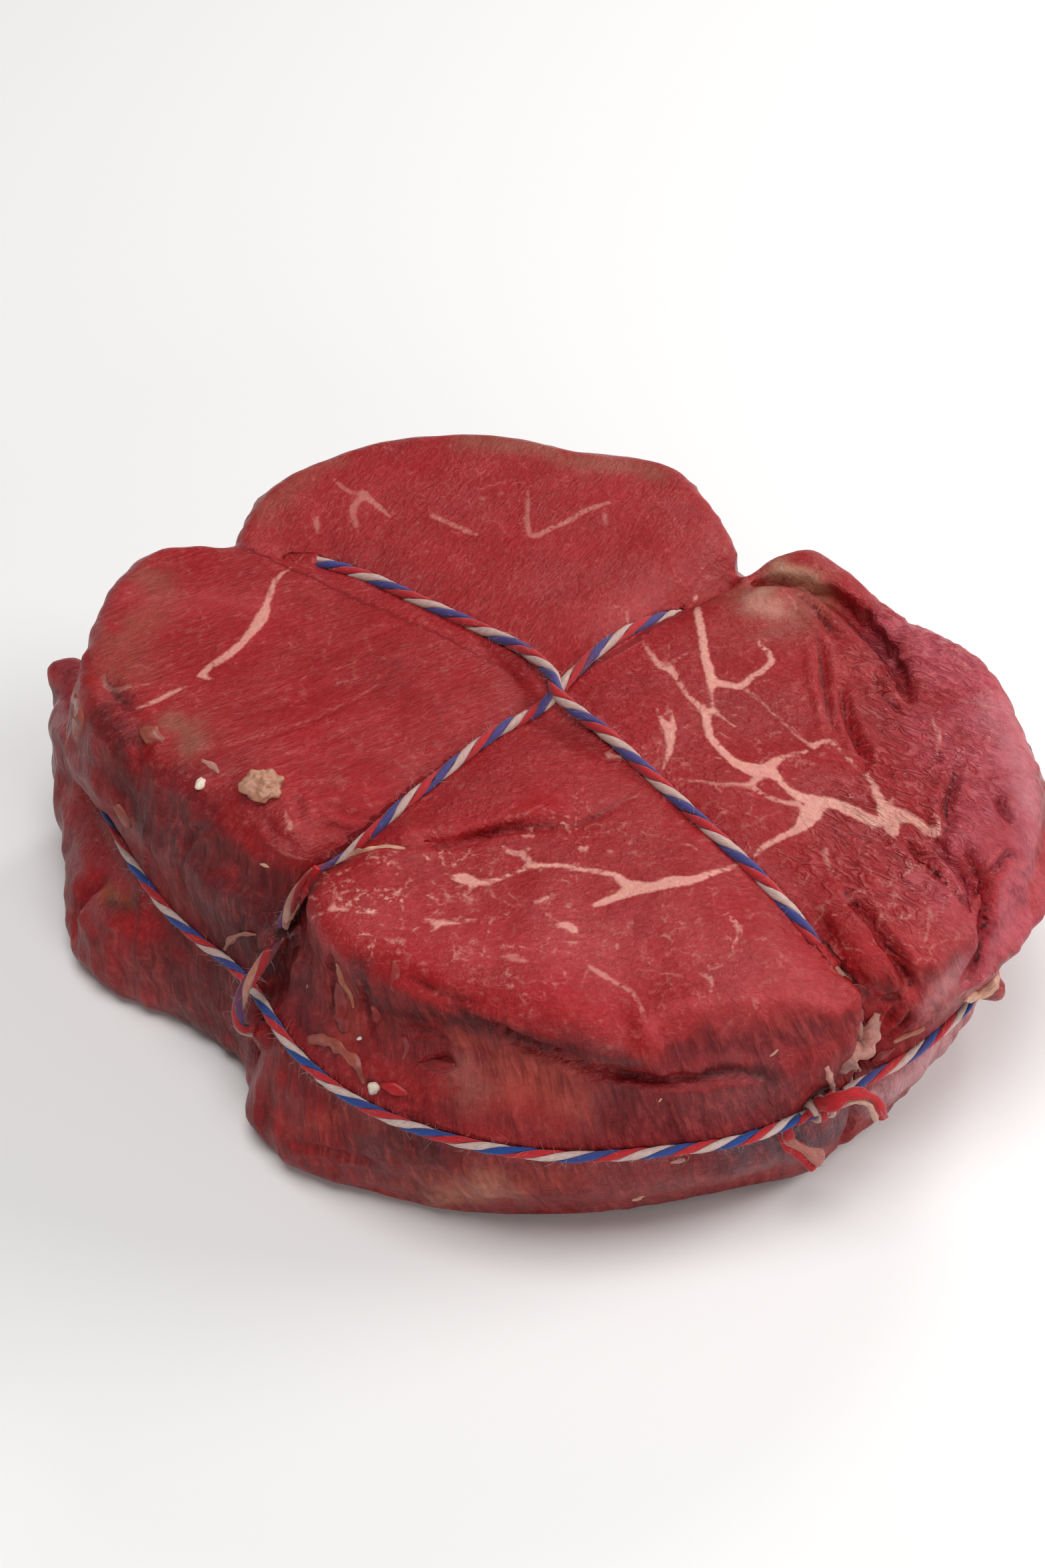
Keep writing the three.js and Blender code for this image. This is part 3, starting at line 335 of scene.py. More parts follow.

# Furrows with raised lips: depth, half width and lip in mm, and pixels along each. Those 0.4 mm deep or
# more also get a line of painted shade along their bottoms.
# A negative depth is a ridge.
FURROWS = {
    "seam": (0.8, 0.45, 0.0, [(600, 1272), (668, 1269), (737, 1250), (809, 1239), (855, 1237),
        (897, 1225)]),
    "seam_lip": (-0.5, 0.8, 0.0, [(596, 1256), (660, 1254), (730, 1234), (800, 1222), (850, 1220)]),
    "seam_end": (0.45, 0.35, 0.0, [(855, 1237), (910, 1214), (950, 1190)]),
    "crack": (0.9, 0.4, 0.0, [(655, 1502), (677, 1512), (739, 1541), (806, 1568), (873, 1593),
        (936, 1609), (998, 1620), (1029, 1618), (1079, 1611)]),
    "crack_lip": (-0.5, 0.9, 0.0, [(700, 1506), (760, 1530), (830, 1556), (900, 1580), (970, 1596)]),
    "facet_ridge": (-0.5, 0.8, 0.0, [(952, 1506), (966, 1545), (982, 1586), (998, 1614)]),
    "band_ledge": (0.5, 0.6, 0.2, [(600, 1456), (640, 1480), (680, 1496), (716, 1504)]),
    "facet_notch": (0.4, 0.5, 0.1, [(1080, 1612), (1120, 1608), (1165, 1622)]),
    "outer_fold": (1.87, 0.65, 0.45, [(1446, 1266), (1456, 1300), (1470, 1322), (1476, 1348),
        (1478, 1370), (1470, 1417), (1461, 1456), (1450, 1470)]),
    "outer_fold_a": (1.02, 0.45, 0.38, [(1472, 1322), (1498, 1300), (1511, 1283), (1532, 1291)]),
    "outer_fold_b": (0.77, 0.5, 0.3, [(1493, 1191), (1502, 1213), (1519, 1235)]),
    "outer_fold_c": (1.02, 0.5, 0.38, [(1411, 1261), (1422, 1243), (1420, 1209), (1432, 1165),
        (1435, 1130)]),
    "delta_fold": (1.19, 0.55, 0.45, [(1356, 1254), (1372, 1274), (1393, 1296), (1419, 1322),
        (1437, 1343), (1454, 1365)]),
    "upper_fold": (1.27, 0.5, 0.45, [(1259, 1030), (1267, 1065), (1276, 1091), (1289, 1117),
        (1300, 1139)]),
    "upper_fold_b": (0.59, 0.5, 0.38, [(1225, 960), (1232, 1000), (1240, 1050), (1250, 1096)]),
    "upper_fold_c": (0.77, 0.5, 0.3, [(1306, 1016), (1322, 1038), (1345, 1060), (1364, 1076)]),
    "upper_fold_d": (0.59, 0.6, 0.3, [(1190, 890), (1215, 905), (1240, 935), (1262, 960)]),
    "bulge_right": (1.87, 0.6, 0.52, [(1315, 1406), (1337, 1422), (1354, 1448), (1363, 1474),
        (1373, 1484)]),
    "bulge_left": (1.7, 0.6, 0.3, [(1228, 1370), (1241, 1413), (1259, 1448), (1280, 1470),
        (1311, 1500)]),
    "bulge_top": (1.19, 0.5, 0.45, [(1267, 1339), (1293, 1365), (1315, 1391), (1324, 1407)]),
    "bulge_foot": (1.02, 0.5, 0.3, [(1356, 1483), (1340, 1494), (1320, 1502)]),
    "bulge_ridge": (-0.9, 1.1, 0.0, [(1250, 1370), (1275, 1400), (1300, 1440), (1325, 1475)]),
    "red_edge_a": (0.68, 0.4, 0.45, [(1322, 1561), (1354, 1535), (1372, 1513)]),
    "red_edge_b": (0.51, 0.4, 0.38, [(1330, 1540), (1340, 1515), (1352, 1498)]),
    "membrane_ridge": (-0.45, 0.4, 0.0, [(234, 1176), (224, 1220), (220, 1270), (218, 1320),
        (214, 1380), (212, 1440), (214, 1496)]),
    "membrane_ridge_b": (-0.2, 0.35, 0.0, [(250, 1186), (236, 1230), (232, 1290), (236, 1340)]),
    "left_edge_line": (0.35, 0.5, 0.25, [(270, 1290), (284, 1258), (306, 1240), (318, 1236)]),
    "left_edge_low": (0.35, 0.5, 0.2, [(268, 1305), (272, 1330), (282, 1362)]),
    "left_arc": (0.25, 0.5, 0.15, [(356, 1400), (372, 1362), (390, 1330), (396, 1300)]),
    "left_wet_a": (0.35, 0.45, 0.25, [(438, 1196), (448, 1206), (446, 1222), (458, 1230)]),
    "left_wet_b": (0.25, 0.5, 0.2, [(470, 1220), (500, 1216), (530, 1226), (556, 1222)]),
    "left_wet_c": (0.25, 0.5, 0.2, [(452, 1250), (490, 1240), (520, 1246), (540, 1260)]),
    "left_wet_d": (0.25, 0.5, 0.2, [(400, 1226), (412, 1250), (440, 1268)]),
    # Grooves along the left lobe's fibres; the first three run by the painted glints of the same names.
    "left_fibre_a": (0.16, 0.45, 0.12, [(330, 1124), (400, 1104), (460, 1086), (520, 1058),
        (570, 1030)]),
    "left_fibre_b": (0.14, 0.45, 0.1, [(340, 1084), (400, 1066), (470, 1042), (520, 1016)]),
    "left_fibre_c": (0.12, 0.45, 0.1, [(420, 1140), (500, 1108), (570, 1078), (620, 1050)]),
    "left_fibre_d": (0.12, 0.45, 0.1, [(480, 990), (540, 960), (600, 940), (650, 916)]),
    "left_rim_dent": (0.6, 0.9, 0.2, [(150, 1010), (176, 1044), (196, 1060)]),
    "left_rim_dent_b": (0.5, 0.8, 0.3, [(204, 1092), (212, 1124), (210, 1150)]),
    "front_side_a": (0.5, 0.5, 0.25, [(540, 1446), (548, 1480), (552, 1520), (560, 1560)]),
    "front_side_b": (0.4, 0.5, 0.2, [(612, 1546), (640, 1548), (668, 1556)]),
    "front_side_c": (0.45, 0.5, 0.25, [(496, 1430), (500, 1480), (502, 1530)]),
    "front_side_d": (0.4, 0.5, 0.2, [(628, 1596), (660, 1592), (690, 1598)]),
    "front_side_e": (0.35, 0.5, 0.2, [(1006, 1640), (1004, 1680), (1002, 1710)]),
    "low_line": (0.35, 0.5, 0.2, [(440, 1712), (490, 1722), (540, 1738), (580, 1750)]),
}

# Shreds of tissue that lie on the surface: colour name, thickness and lift in mm, and
# pixels along each with the half width there.
SHREDS = {
    "notch_strip": ("beige", 0.35, 1.2, [(470, 1302, 2), (459, 1325, 7), (447, 1350, 8), (438, 1372, 8),
        (427, 1386, 3)]),
    "notch_strip_red": ("scarlet", 0.35, 1.5, [(478, 1300, 5), (468, 1316, 7), (459, 1336, 5),
        (452, 1356, 2)]),
    "membrane_vee": ("beige", 0.3, 0.2, [(337, 1425, 2), (345, 1412, 5), (357, 1403, 4), (370, 1401, 4),
        (385, 1402, 2)]),
    "tall_flake": ("amber", 0.4, 0.2, [(506, 1446, 2), (511, 1460, 6), (518, 1478, 6), (527, 1494, 4),
        (531, 1512, 2)]),
    "tall_flap": ("scarlet_dark", 0.6, 0.0, [(508, 1472, 4), (513, 1500, 11), (519, 1526, 15),
        (516, 1548, 9)]),
    "round_flap": ("scarlet_dark", 0.5, 0.0, [(560, 1508, 4), (566, 1520, 11), (562, 1532, 5)]),
    "pillar_flap": ("scarlet_dark", 0.5, 0.0, [(592, 1440, 5), (594, 1464, 8), (590, 1486, 5)]),
    "curl": ("amber_dark", 0.5, 0.0, [(462, 1560, 5), (486, 1560, 12), (508, 1568, 12), (524, 1584, 9),
        (540, 1598, 9), (548, 1626, 4)]),
    "curl_small": ("scarlet_dark", 0.4, 0.0, [(606, 1554, 3), (611, 1572, 6), (604, 1590, 4)]),
    "red_blob": ("scarlet", 0.5, 0.1, [(572, 1627, 4), (590, 1633, 10), (612, 1640, 4)]),
    "ledge_flap": ("scarlet_dark", 0.5, 0.0, [(626, 1596, 4), (650, 1600, 9), (684, 1600, 5)]),
    "corner_fat": ("rose_fat", 0.9, 0.1, [(1317, 1519, 6), (1309, 1540, 15), (1293, 1565, 18),
        (1275, 1590, 17), (1262, 1606, 8)]),
    "corner_drip": ("rose_fat", 0.4, 0.2, [(1240, 1600, 3), (1246, 1620, 6), (1251, 1640, 3)]),
    "right_fat_a": ("amber", 0.45, 0.2, [(1340, 1562, 3), (1362, 1552, 8), (1386, 1541, 4)]),
    "right_fat_b": ("scarlet_dark", 0.45, 0.2, [(1306, 1593, 3), (1322, 1583, 8), (1342, 1572, 3)]),
    "left_lump": ("amber_dark", 1.0, 0.0, [(214, 1096, 8), (230, 1104, 15), (246, 1112, 7)]),
    "left_lump_low": ("tan", 0.5, 0.2, [(174, 1207, 4), (184, 1220, 9), (192, 1240, 6)]),
    "left_corner": ("amber_dark", 0.7, 0.0, [(112, 1048, 8), (120, 1074, 15), (116, 1104, 8)]),
    "left_edge_fat": ("tan", 0.25, -0.1, [(332, 1203, 2), (346, 1214, 4), (358, 1228, 4),
        (370, 1240, 1)]),
    "left_edge_chip": ("rose_fat", 0.25, 0.1, [(302, 1140, 2), (320, 1150, 7), (328, 1160, 3)]),
    "seam_rim": ("cream_fat", 0.3, 0.2, [(510, 1293, 4), (530, 1282, 6), (556, 1274, 5), (582, 1271, 5),
        (608, 1273, 2)]),
    "thread_red": ("scarlet", 0.2, 0.5, [(545, 1262, 3), (530, 1275, 3), (512, 1284, 3)]),
    "tab": ("cream_fat", 0.8, 0.2, [(1448, 1498, 5), (1470, 1490, 12), (1490, 1476, 11),
        (1506, 1466, 5)]),
    "speck_facet": ("cream_fat", 0.15, 0.0, [(1150, 1588, 1), (1160, 1580, 3), (1168, 1574, 1)]),
    "speck_low": ("cream_fat", 0.2, 0.0, [(948, 1800, 2), (957, 1797, 4), (965, 1794, 2)]),
    "speck_ring": ("rose_fat", 0.3, 0.0, [(1006, 1743, 3), (1018, 1741, 6), (1028, 1738, 3)]),
    "speck_side": ("cream_fat", 0.15, 0.0, [(986, 1652, 2), (990, 1648, 3), (992, 1644, 1)]),
    "speck_roll": ("cream_fat", 0.12, 0.0, [(390, 1296, 1), (397, 1298, 3), (404, 1301, 1)]),
    "speck_column": ("cream_fat", 0.12, 0.0, [(460, 1483, 1), (461, 1480, 2), (462, 1477, 1)]),
}

# The crumbs that lie on the meat: pixel, size along X, Y and Z in mm, turn and colour.
CRUMBS = {
    "fat_crumb_large": ((393, 1177), (4.0, 3.4, 1.9), 15, "cream"),
    "fat_crumb_small": ((300, 1174), (1.0, 1.5, 0.9), -25, "ivory"),
    "fat_crumb_front": ((561, 1634), (1.2, 0.9, 1.7), 10, "ivory"),
    "fat_speck_front": ((541, 1557), (0.8, 0.4, 0.4), 25, "ivory"),
}


def linear(hex_colour):
    """An sRGB hex colour as linear red, green and blue."""
    parts = [int(hex_colour[i:i + 2], 16) / 255 for i in (1, 3, 5)]
    return [c / 12.92 if c <= 0.04045 else ((c + 0.055) / 1.055) ** 2.4 for c in parts]


# The colours of the meat, named for what they are; some of them are painted shade and painted sheen, as
# marked.
COLOURS = {
    "lean": "#97191d",
    # Deep red: darker patches of lean, and painted shade between the fine folds of the soft lobe.
    "deep": "#8a1519",
    "bright": "#9c1318",
    # Pale red: the lighter fibres of the cut face, and painted sheen and highlights on the front lobe.
    "pale": "#b33b40",
    "olive": "#8a5340",
    "purple": "#66242a",
    "plum": "#4c2230",
    "mauve": "#b67c80",
    # Maroon: among its uses, painted shade on the left roll.
    "maroon": "#54181b",
    "ember": "#b0483c",
    "clay": "#9c5a48",
    # Painted shade: a brown one in a crease, a near black red in creases, gaps and along the bottoms of
    # furrows, and a black in a hole.
    "rust": "#9a4a26",
    "night": "#2e0c0d",
    "hole": "#0c0203",
    "haze": "#834349",
    # Painted sheen: on the crests of the soft lobe's folds and in glints along the fibres.
    "sheen": "#bb6668",
    "rose": "#bc5260",
    "side": "#82181b",
    "blood": "#a0161c",
    "fat": "#dca08c",
    "vein": "#d78f86",
    "cream": "#a97a62",
    "ivory": "#d9c9b8",
    "meaty_fat": "#b9705c",
}

# The colours of the shreds of tissue.
TISSUE = {
    "beige": "#a4624f",
    "amber": "#a85f46",
    "amber_dark": "#984a3c",
    "tan": "#8f4639",
    "rose_fat": "#b67c70",
    "cream_fat": "#cf9a80",
    "scarlet": "#a8141a",
    "scarlet_dark": "#8c221f",
}


# ------------------------------------------------------------------ lines and fields

def curve_through(stations, spacing, closed=False):
    """Evenly spaced points of a centripetal Catmull-Rom curve through the stations."""
    points = np.asarray(stations, float)
    count = len(points)
    if closed:
        around = [points[(i - 1) % count] for i in range(count + 3)]
    else:
        around = [2 * points[0] - points[1], *points, 2 * points[-1] - points[-2]]
    dense = []
    for before, start, end, after in zip(around, around[1:], around[2:], around[3:]):
        knots = np.cumsum([0.0] + [
            max(1e-6, np.linalg.norm(b - a) ** 0.5)
            for a, b in ((before, start), (start, end), (end, after))])
        for t in np.linspace(knots[1], knots[2], 17)[:-1]:
            a1 = mix(before, start, knots[0], knots[1], t)
            a2 = mix(start, end, knots[1], knots[2], t)
            a3 = mix(end, after, knots[2], knots[3], t)
            b1 = mix(a1, a2, knots[0], knots[2], t)
            b2 = mix(a2, a3, knots[1], knots[3], t)
            dense.append(mix(b1, b2, knots[1], knots[2], t))
    dense.append(points[0] if closed else points[-1])
    dense = np.array(dense)
    run = np.concatenate([[0], np.cumsum(np.linalg.norm(np.diff(dense, axis=0), axis=1))])
    steps = max(2, round(run[-1] / spacing))
    wanted = np.linspace(0, run[-1], steps + 1)
    return np.stack([np.interp(wanted, run, dense[:, k]) for k in range(3)], axis=1)


def mix(a, b, from_knot, to_knot, t):
    """The point between a and b where the knot value is t."""
    share = (t - from_knot) / (to_knot - from_knot)
    return a + (b - a) * share


def placed(points):
    """Millimetres in the medallion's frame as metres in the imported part's."""
    return (np.asarray(points, float) + MIDDLE) * MM


def smooth(low, high, values):
    """0 below low and 1 above high, with a soft step between."""
    t = np.clip((np.asarray(values, float) - low) / (high - low), 0, 1)
    return t * t * (3 - 2 * t)


def belt(rise, fall, values):
    """1 between a soft step up and a soft step down, each from one value to another."""
    return smooth(*rise, values) * (1 - smooth(*fall, values))


def belt_past_east(rise, fall, angle):
    """1 from a soft step up before 360 degrees to a soft step down after 0 degrees."""
    return np.clip(smooth(*rise, angle) + (1 - smooth(*fall, angle)), 0, 1)


def noise_at(points, size, seed):
    """Smooth noise from about -1 to 1 with blobs of about that size, in metres."""
    shift = Vector((seed * 7.13, seed * 3.71, seed * 5.37))
    scaled = np.asarray(points) / size
    return 1.6 * np.array([noise.noise(Vector(p) + shift) for p in scaled])


def sight_line(pixel):
    """The direction from the camera through a pixel of the picture."""
    across = (pixel[0] - PICTURE[0] / 2) / FOCAL_PIXELS
    down = (pixel[1] - PICTURE[1] / 2) / FOCAL_PIXELS
    return (Vector((1, 0, 0)) * across - PICTURE_UP * down - TOWARDS_CAMERA).normalized()


def seen(tree, pixels):
    """Where the sight lines through these pixels meet the meat, and its normals there."""
    places = []
    for pixel in pixels:
        way = sight_line(pixel)
        place, normal, _, _ = tree.ray_cast(CAMERA_AT, way)
        if place is None:
            place, normal, _, _ = tree.find_nearest(CAMERA_AT + way * VIEW_DISTANCE)
        places.append((*place, *normal))
    places = np.array(places)
    return places[:, :3], places[:, 3:]


def share_along(points):
    """How far along a line of points each of them is, from 0 to 1."""
    spans = np.linalg.norm(np.diff(points, axis=0), axis=1)
    run = np.concatenate([[0], np.cumsum(spans)])
    return run / run[-1]


class LineField:
    """What a line on the surface looks like from the mesh's vertices within its reach:
    their distance to it, their signed side, how far along they are, and the way off it."""

    def __init__(self, points, normals, line, reach=5 * MM):
        low, high = line.min(axis=0) - reach, line.max(axis=0) + reach
        self.rows = np.flatnonzero(((points > low) & (points < high)).all(axis=1))
        near, self.size = points[self.rows], len(points)
        self.distance = np.full(len(near), FAR)
        self.side = np.zeros(len(near))
        self.along = np.zeros(len(near))
        self.gap = np.zeros((len(near), 3))
        run = share_along(line)
        for i, (start, end) in enumerate(zip(line, line[1:])):
            way = end - start
            middle = (start + end) / 2
            span = np.linalg.norm(way) / 2 + reach
            close = np.flatnonzero(np.abs(near - middle).max(axis=1) < span)
            off = near[close] - start
            t = np.clip(off @ way / (way @ way), 0, 1)
            gap = off - t[:, None] * way
            distance = np.linalg.norm(gap, axis=1)
            closer = distance < self.distance[close]
            rows = close[closer]
            self.distance[rows] = distance[closer]
            turn = np.einsum("ij,ij->i", np.cross(normals[self.rows[rows]], way), gap[closer])
            self.side[rows] = np.where(turn < 0, -1, 1) * distance[closer]
            self.along[rows] = run[i] + t[closer] * (run[i + 1] - run[i])
            self.gap[rows] = gap[closer]

    def spread(self, values, elsewhere=0.0):
        """The values at the near vertices, and another value everywhere else."""
        whole = np.full(self.size, float(elsewhere))
        whole[self.rows] = values
        return whole


def traced_line(tree, marks, spacing=0.6 * MM):
    """A curve on the meat through pixels, with the half widths in metres at its stations."""
    places, _ = seen(tree, [mark[:2] for mark in marks])
    shares = share_along(places)
    depths = [(CAMERA_AT - Vector(place)).length for place in places]
    widths = [mark[2] / FOCAL_PIXELS * depth for mark, depth in zip(marks, depths)]
    return curve_through(places, spacing), shares, widths


# ------------------------------------------------------------------ meshes

def select_only(piece):
    """Makes a piece the only selected and the active object."""
    for other in bpy.context.view_layer.objects:
        other.select_set(other is piece)
    bpy.context.view_layer.objects.active = piece


def mesh_piece(name, vertices, faces, colours=None, lay=None):
    """A smooth mesh object in metres that rides on the part, with its dyes and lay."""
    mesh = bpy.data.meshes.new(name)
    mesh.from_pydata([tuple(v) for v in vertices], [], [tuple(f) for f in faces])
    mesh.update()
    if colours is not None:
        attribute = mesh.color_attributes.new("dye", "FLOAT_COLOR", "POINT")
        attribute.data.foreach_set("color", np.asarray(colours, float).ravel())
    if lay is not None:
        layer = mesh.uv_layers.new(name="lay")
        corners = np.empty(len(mesh.loops), int)
        mesh.loops.foreach_get("vertex_index", corners)
        layer.data.foreach_set("uv", np.asarray(lay, float)[corners].ravel())
    mesh.shade_smooth()
    piece = bpy.data.objects.new(name, mesh)
    bpy.context.scene.collection.objects.link(piece)
    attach(piece, "root")
    return piece


def apply_modifier(piece, kind, **settings):
    """Adds a modifier to the piece and applies it."""
    select_only(piece)
    modifier = piece.modifiers.new(kind.lower(), kind)
    for key, value in settings.items():
        setattr(modifier, key, value)
    bpy.ops.object.modifier_apply(modifier=modifier.name)


def corners_and_normals(mesh):
    """The mesh's vertices and vertex normals as arrays."""
    points = np.empty(len(mesh.vertices) * 3)
    mesh.vertices.foreach_get("co", points)
    normals = np.empty(len(mesh.vertices) * 3)
    mesh.vertex_normals.foreach_get("vector", normals)
    return points.reshape(-1, 3), normals.reshape(-1, 3)


def store(mesh, name, values):
    """Keeps a value, a vector or a colour at each vertex for the material to read."""
    values = np.asarray(values, float)
    if values.ndim == 1:
        attribute = mesh.attributes.new(name, "FLOAT", "POINT")
        attribute.data.foreach_set("value", values)
    elif values.shape[1] == 3:
        attribute = mesh.attributes.new(name, "FLOAT_VECTOR", "POINT")
        attribute.data.foreach_set("vector", values.ravel())
    else:
        attribute = mesh.color_attributes.new(name, "FLOAT_COLOR", "POINT")
        attribute.data.foreach_set("color", values.ravel())


def add(tree, kind, inputs=None, output=0, **settings):
    """Adds a shader node, sets it up, fills or links its inputs, and gives back an output."""
    made = tree.nodes.new("ShaderNode" + kind)
    for key, value in settings.items():
        setattr(made, key, value)
    for socket, value in (inputs or {}).items():
        if isinstance(value, bpy.types.NodeSocket):
            tree.links.new(value, made.inputs[socket])
        else:
            made.inputs[socket].default_value = value
    return made.outputs[output]


def new_material(name):
    """An empty material with a Principled shader, and its node tree."""
    material = bpy.data.materials.new(name)
    material.use_nodes = True
    return material, material.node_tree


def finish(material, links, values):
    """Links and fills the inputs of a material's Principled shader."""
    tree = material.node_tree
    shader = tree.nodes["Principled BSDF"]
    for socket, value in links.items():
        tree.links.new(value, shader.inputs[socket])
    for socket, value in values.items():
        shader.inputs[socket].default_value = value
    return material


# A colour Mix node's inputs and output, by their numbers. Elsewhere in the materials a Map
# Range node's inputs are 0 the value, 1 and 2 its range, and 3 and 4 the range it is given.
FACTOR, UNDER, OVER, MIXED = 0, 6, 7, 2


# ------------------------------------------------------------------ the meat's form

def meat_copy(voxel):
    """A fine, evenly meshed copy of the CAD meat."""
    mesh = frame["nodes"]["meat"].data.copy()
    mesh.name = "beef_medallion"
    mesh.materials.clear()
    piece = bpy.data.objects.new("beef_medallion", mesh)
    bpy.context.scene.collection.objects.link(piece)
    select_only(piece)
    bpy.ops.object.mode_set(mode="EDIT")
    bpy.ops.mesh.select_all(action="SELECT")
    bpy.ops.mesh.remove_doubles(threshold=1e-6)
    bpy.ops.object.mode_set(mode="OBJECT")
    apply_modifier(piece, "REMESH", mode="VOXEL", voxel_size=voxel)
    return piece


def twine_lines():
    """The axes of the three long strands, in metres."""
    ring = [(x, y, RING_LEVEL) for x, y in RING]
    return {
        "twine_cross_a": curve_through(placed(CROSS_A), 0.001, closed=True),
        "twine_cross_b": curve_through(placed(CROSS_B), 0.001, closed=True),
        "twine_ring": curve_through(placed(ring), 0.001),
    }


# The furrows along which the mesh keeps the sharp lips of the CAD meat.
CRISP = ("seam", "crack", "outer_fold")


def soften(piece, tree):
    """Smooths the facets away, but less near slits, grooves and sharp lips."""
    points, normals = corners_and_normals(piece.data)
    lines = list(twine_lines().values())
    lines += [curve_through(seen(tree, FURROWS[name][3])[0], 1 * MM) for name in CRISP]
    nearest = np.full(len(points), FAR)
    for line in lines:
        field = LineField(points, normals, line)
        nearest = np.minimum(nearest, field.spread(field.distance, FAR))
    free = smooth(1.2 * MM, 3.5 * MM, nearest)
    group = piece.vertex_groups.new(name="free")
    for index, weight in enumerate(free):
        if weight > 0.02:
            group.add([index], float(weight), "REPLACE")
    apply_modifier(piece, "SMOOTH", factor=0.5, iterations=14, vertex_group="free")
    apply_modifier(piece, "SMOOTH", factor=0.5, iterations=2)
    piece.vertex_groups.clear()


def angle_round(points):
    """Degrees round the medallion's middle, from 0 to 360."""
    flat = points[:, :2] - placed([0, 0, 0])[:2]
    return np.degrees(np.arctan2(flat[:, 1], flat[:, 0])) % 360


# The soft lobe at the right, in degrees: where it rises out of its neighbours and falls back.
SOFT_LOBE = ((312, 320), (18, 32))


def wrinkled(points, angle):
    """How much the soft right lobe wrinkles at each point, most in a belt inside its rim."""
    on_lobe = belt_past_east(*SOFT_LOBE, angle)
    reach = np.linalg.norm(points[:, :2] - placed([0, 0, 0])[:2], axis=1) / MM
    return on_lobe * (0.1 + 0.9 * smooth(24, 32, reach)) * (1 - 0.85 * smooth(39, 45, reach))


# Where the meat closes over a sunken strand: the strand, the pixels from and to which it
# does, how far over the strand's axis it closes and how far to its sides, in mm.
BURIED = (
    ("twine_cross_a", (1240, 1408), (1264, 1456), 0.8, 2.2),
    ("twine_cross_a", (392, 822), (474, 838), 0.75, 2.2),
    ("twine_cross_b", (430, 1392), (410, 1436), 0.75, 2.0),
    ("twine_cross_b", (352, 1520), (392, 1560), 0.8, 2.2),
)


def bury(points, normals):
    """Closes the grooves over the sunken stretches of twine."""
    lines = twine_lines()
    for name, start, end, cover, reach in BURIED:
        rows = sorted(row_at(lines[name], pixel) for pixel in (start, end))
        field = LineField(points, normals, lines[name][rows[0]:rows[1] + 1], 3 * MM)
        near = field.distance < 2.5 * MM
        up = unit(normals[field.rows[near]].mean(axis=0))
        height = field.gap @ up / MM
        aside = np.sqrt(np.maximum((field.distance / MM) ** 2 - height ** 2, 0))
        lid = cover * (1 - smooth(0.6, reach, aside))
        lift = np.where(height > -1.6, np.maximum(lid - height, 0), 0)
        lift *= (1 - smooth(0.8 * reach, reach, aside)) * belt((0, 0.05), (0.95, 1), field.along)
        points[field.rows] += up * (lift * MM)[:, None]


def row_at(line, pixel):
    """The place on a line that is nearest to the sight line through a pixel."""
    way = np.array(sight_line(pixel))
    off = line - np.array(CAMERA_AT)
    return int(np.argmin(np.linalg.norm(off - np.outer(off @ way, way), axis=1)))


def furrowed(points, normals, tree):
    """How far in mm the furrows, their lips and the ridges move each point."""
    move = np.zeros(len(points))
    for depth, width, lip, pixels in FURROWS.values():
        line = curve_through(seen(tree, pixels)[0], 0.8 * MM)
        field = LineField(points, normals, line)
        share = field.distance / (width * MM)
        ends = np.sqrt(np.clip(np.sin(np.pi * np.clip(field.along, 0.02, 0.98)), 0, 1))
        furrow = -depth * np.exp(-share ** 2) + lip * np.exp(-((share - 1.9) / 0.9) ** 2)
        move += field.spread(furrow * ends)
    return move


# The rough stretches of the outside, in degrees: the torn front left and the loose far left.
TORN, LOOSE = ((200, 216), (258, 270)), ((128, 150), (200, 208))


def lumpy(points, normals, settings):
    """How far in mm lumps 9 and 2.6 mm wide, wrinkles and fibre bundles move each point."""
    angle = angle_round(points)
    up = smooth(0.45, 0.85, normals[:, 2])
    upright = 1 - smooth(0.35, 0.7, np.abs(normals[:, 2]))
    move = 0.24 * noise_at(points, 9 * MM, 1) * (0.5 + 0.5 * up)
    rough = belt(*TORN, angle) + belt(*LOOSE, angle) * (1 - 0.5 * up)
    move += (0.07 + 0.2 * rough * (1 - 0.85 * up)) * noise_at(points, 2.6 * MM, 2)
    bent = points + 0.9 * MM * np.stack([noise_at(points, 4 * MM, 3)] * 3, axis=1)
    ridges = noise_at(bent * [1.5, 1.0, 1.0], 2.0 * MM, 4)
    move += settings.wrinkle * wrinkled(points, angle) * (0.35 - np.abs(ridges))
    arc = np.radians(angle) * 42 * MM + 0.25 * points[:, 2]
    bundles = np.stack([arc, points[:, 2] * 0.16, points[:, 2] * 0], axis=1)
    return move + settings.fibre * upright * noise_at(bundles, 1.5 * MM, 5)


def relief(piece, tree, settings):
    """Moves the surface: furrows, wrinkles, fibre bundles, and meat that closes on the twine."""
    points, normals = corners_and_normals(piece.data)
    bottom = smooth(-0.3, -0.8, normals[:, 2]) * (points[:, 2] < 1.5 * MM)
    move = (furrowed(points, normals, tree) + lumpy(points, normals, settings)) * (1 - bottom) * MM
    pull = np.zeros((len(points), 3))
    for name, line in twine_lines().items():
        field = LineField(points, normals, line)
        hold = 1 - smooth(1.2 * MM, 2.0 * MM, field.distance)
        move[field.rows] *= 1 - hold
        wanted = np.maximum(field.distance - 0.5 * MM * hold, RADII[name] * MM)
        closing = np.minimum(wanted - field.distance, 0) / np.maximum(field.distance, 1e-6)
        pull[field.rows] += field.gap * closing[:, None]
    points += normals * move[:, None] + pull
    bury(points, normals)
    points[:, 2] = np.maximum(points[:, 2], 0)
    piece.data.vertices.foreach_set("co", points.ravel())
    piece.data.update()


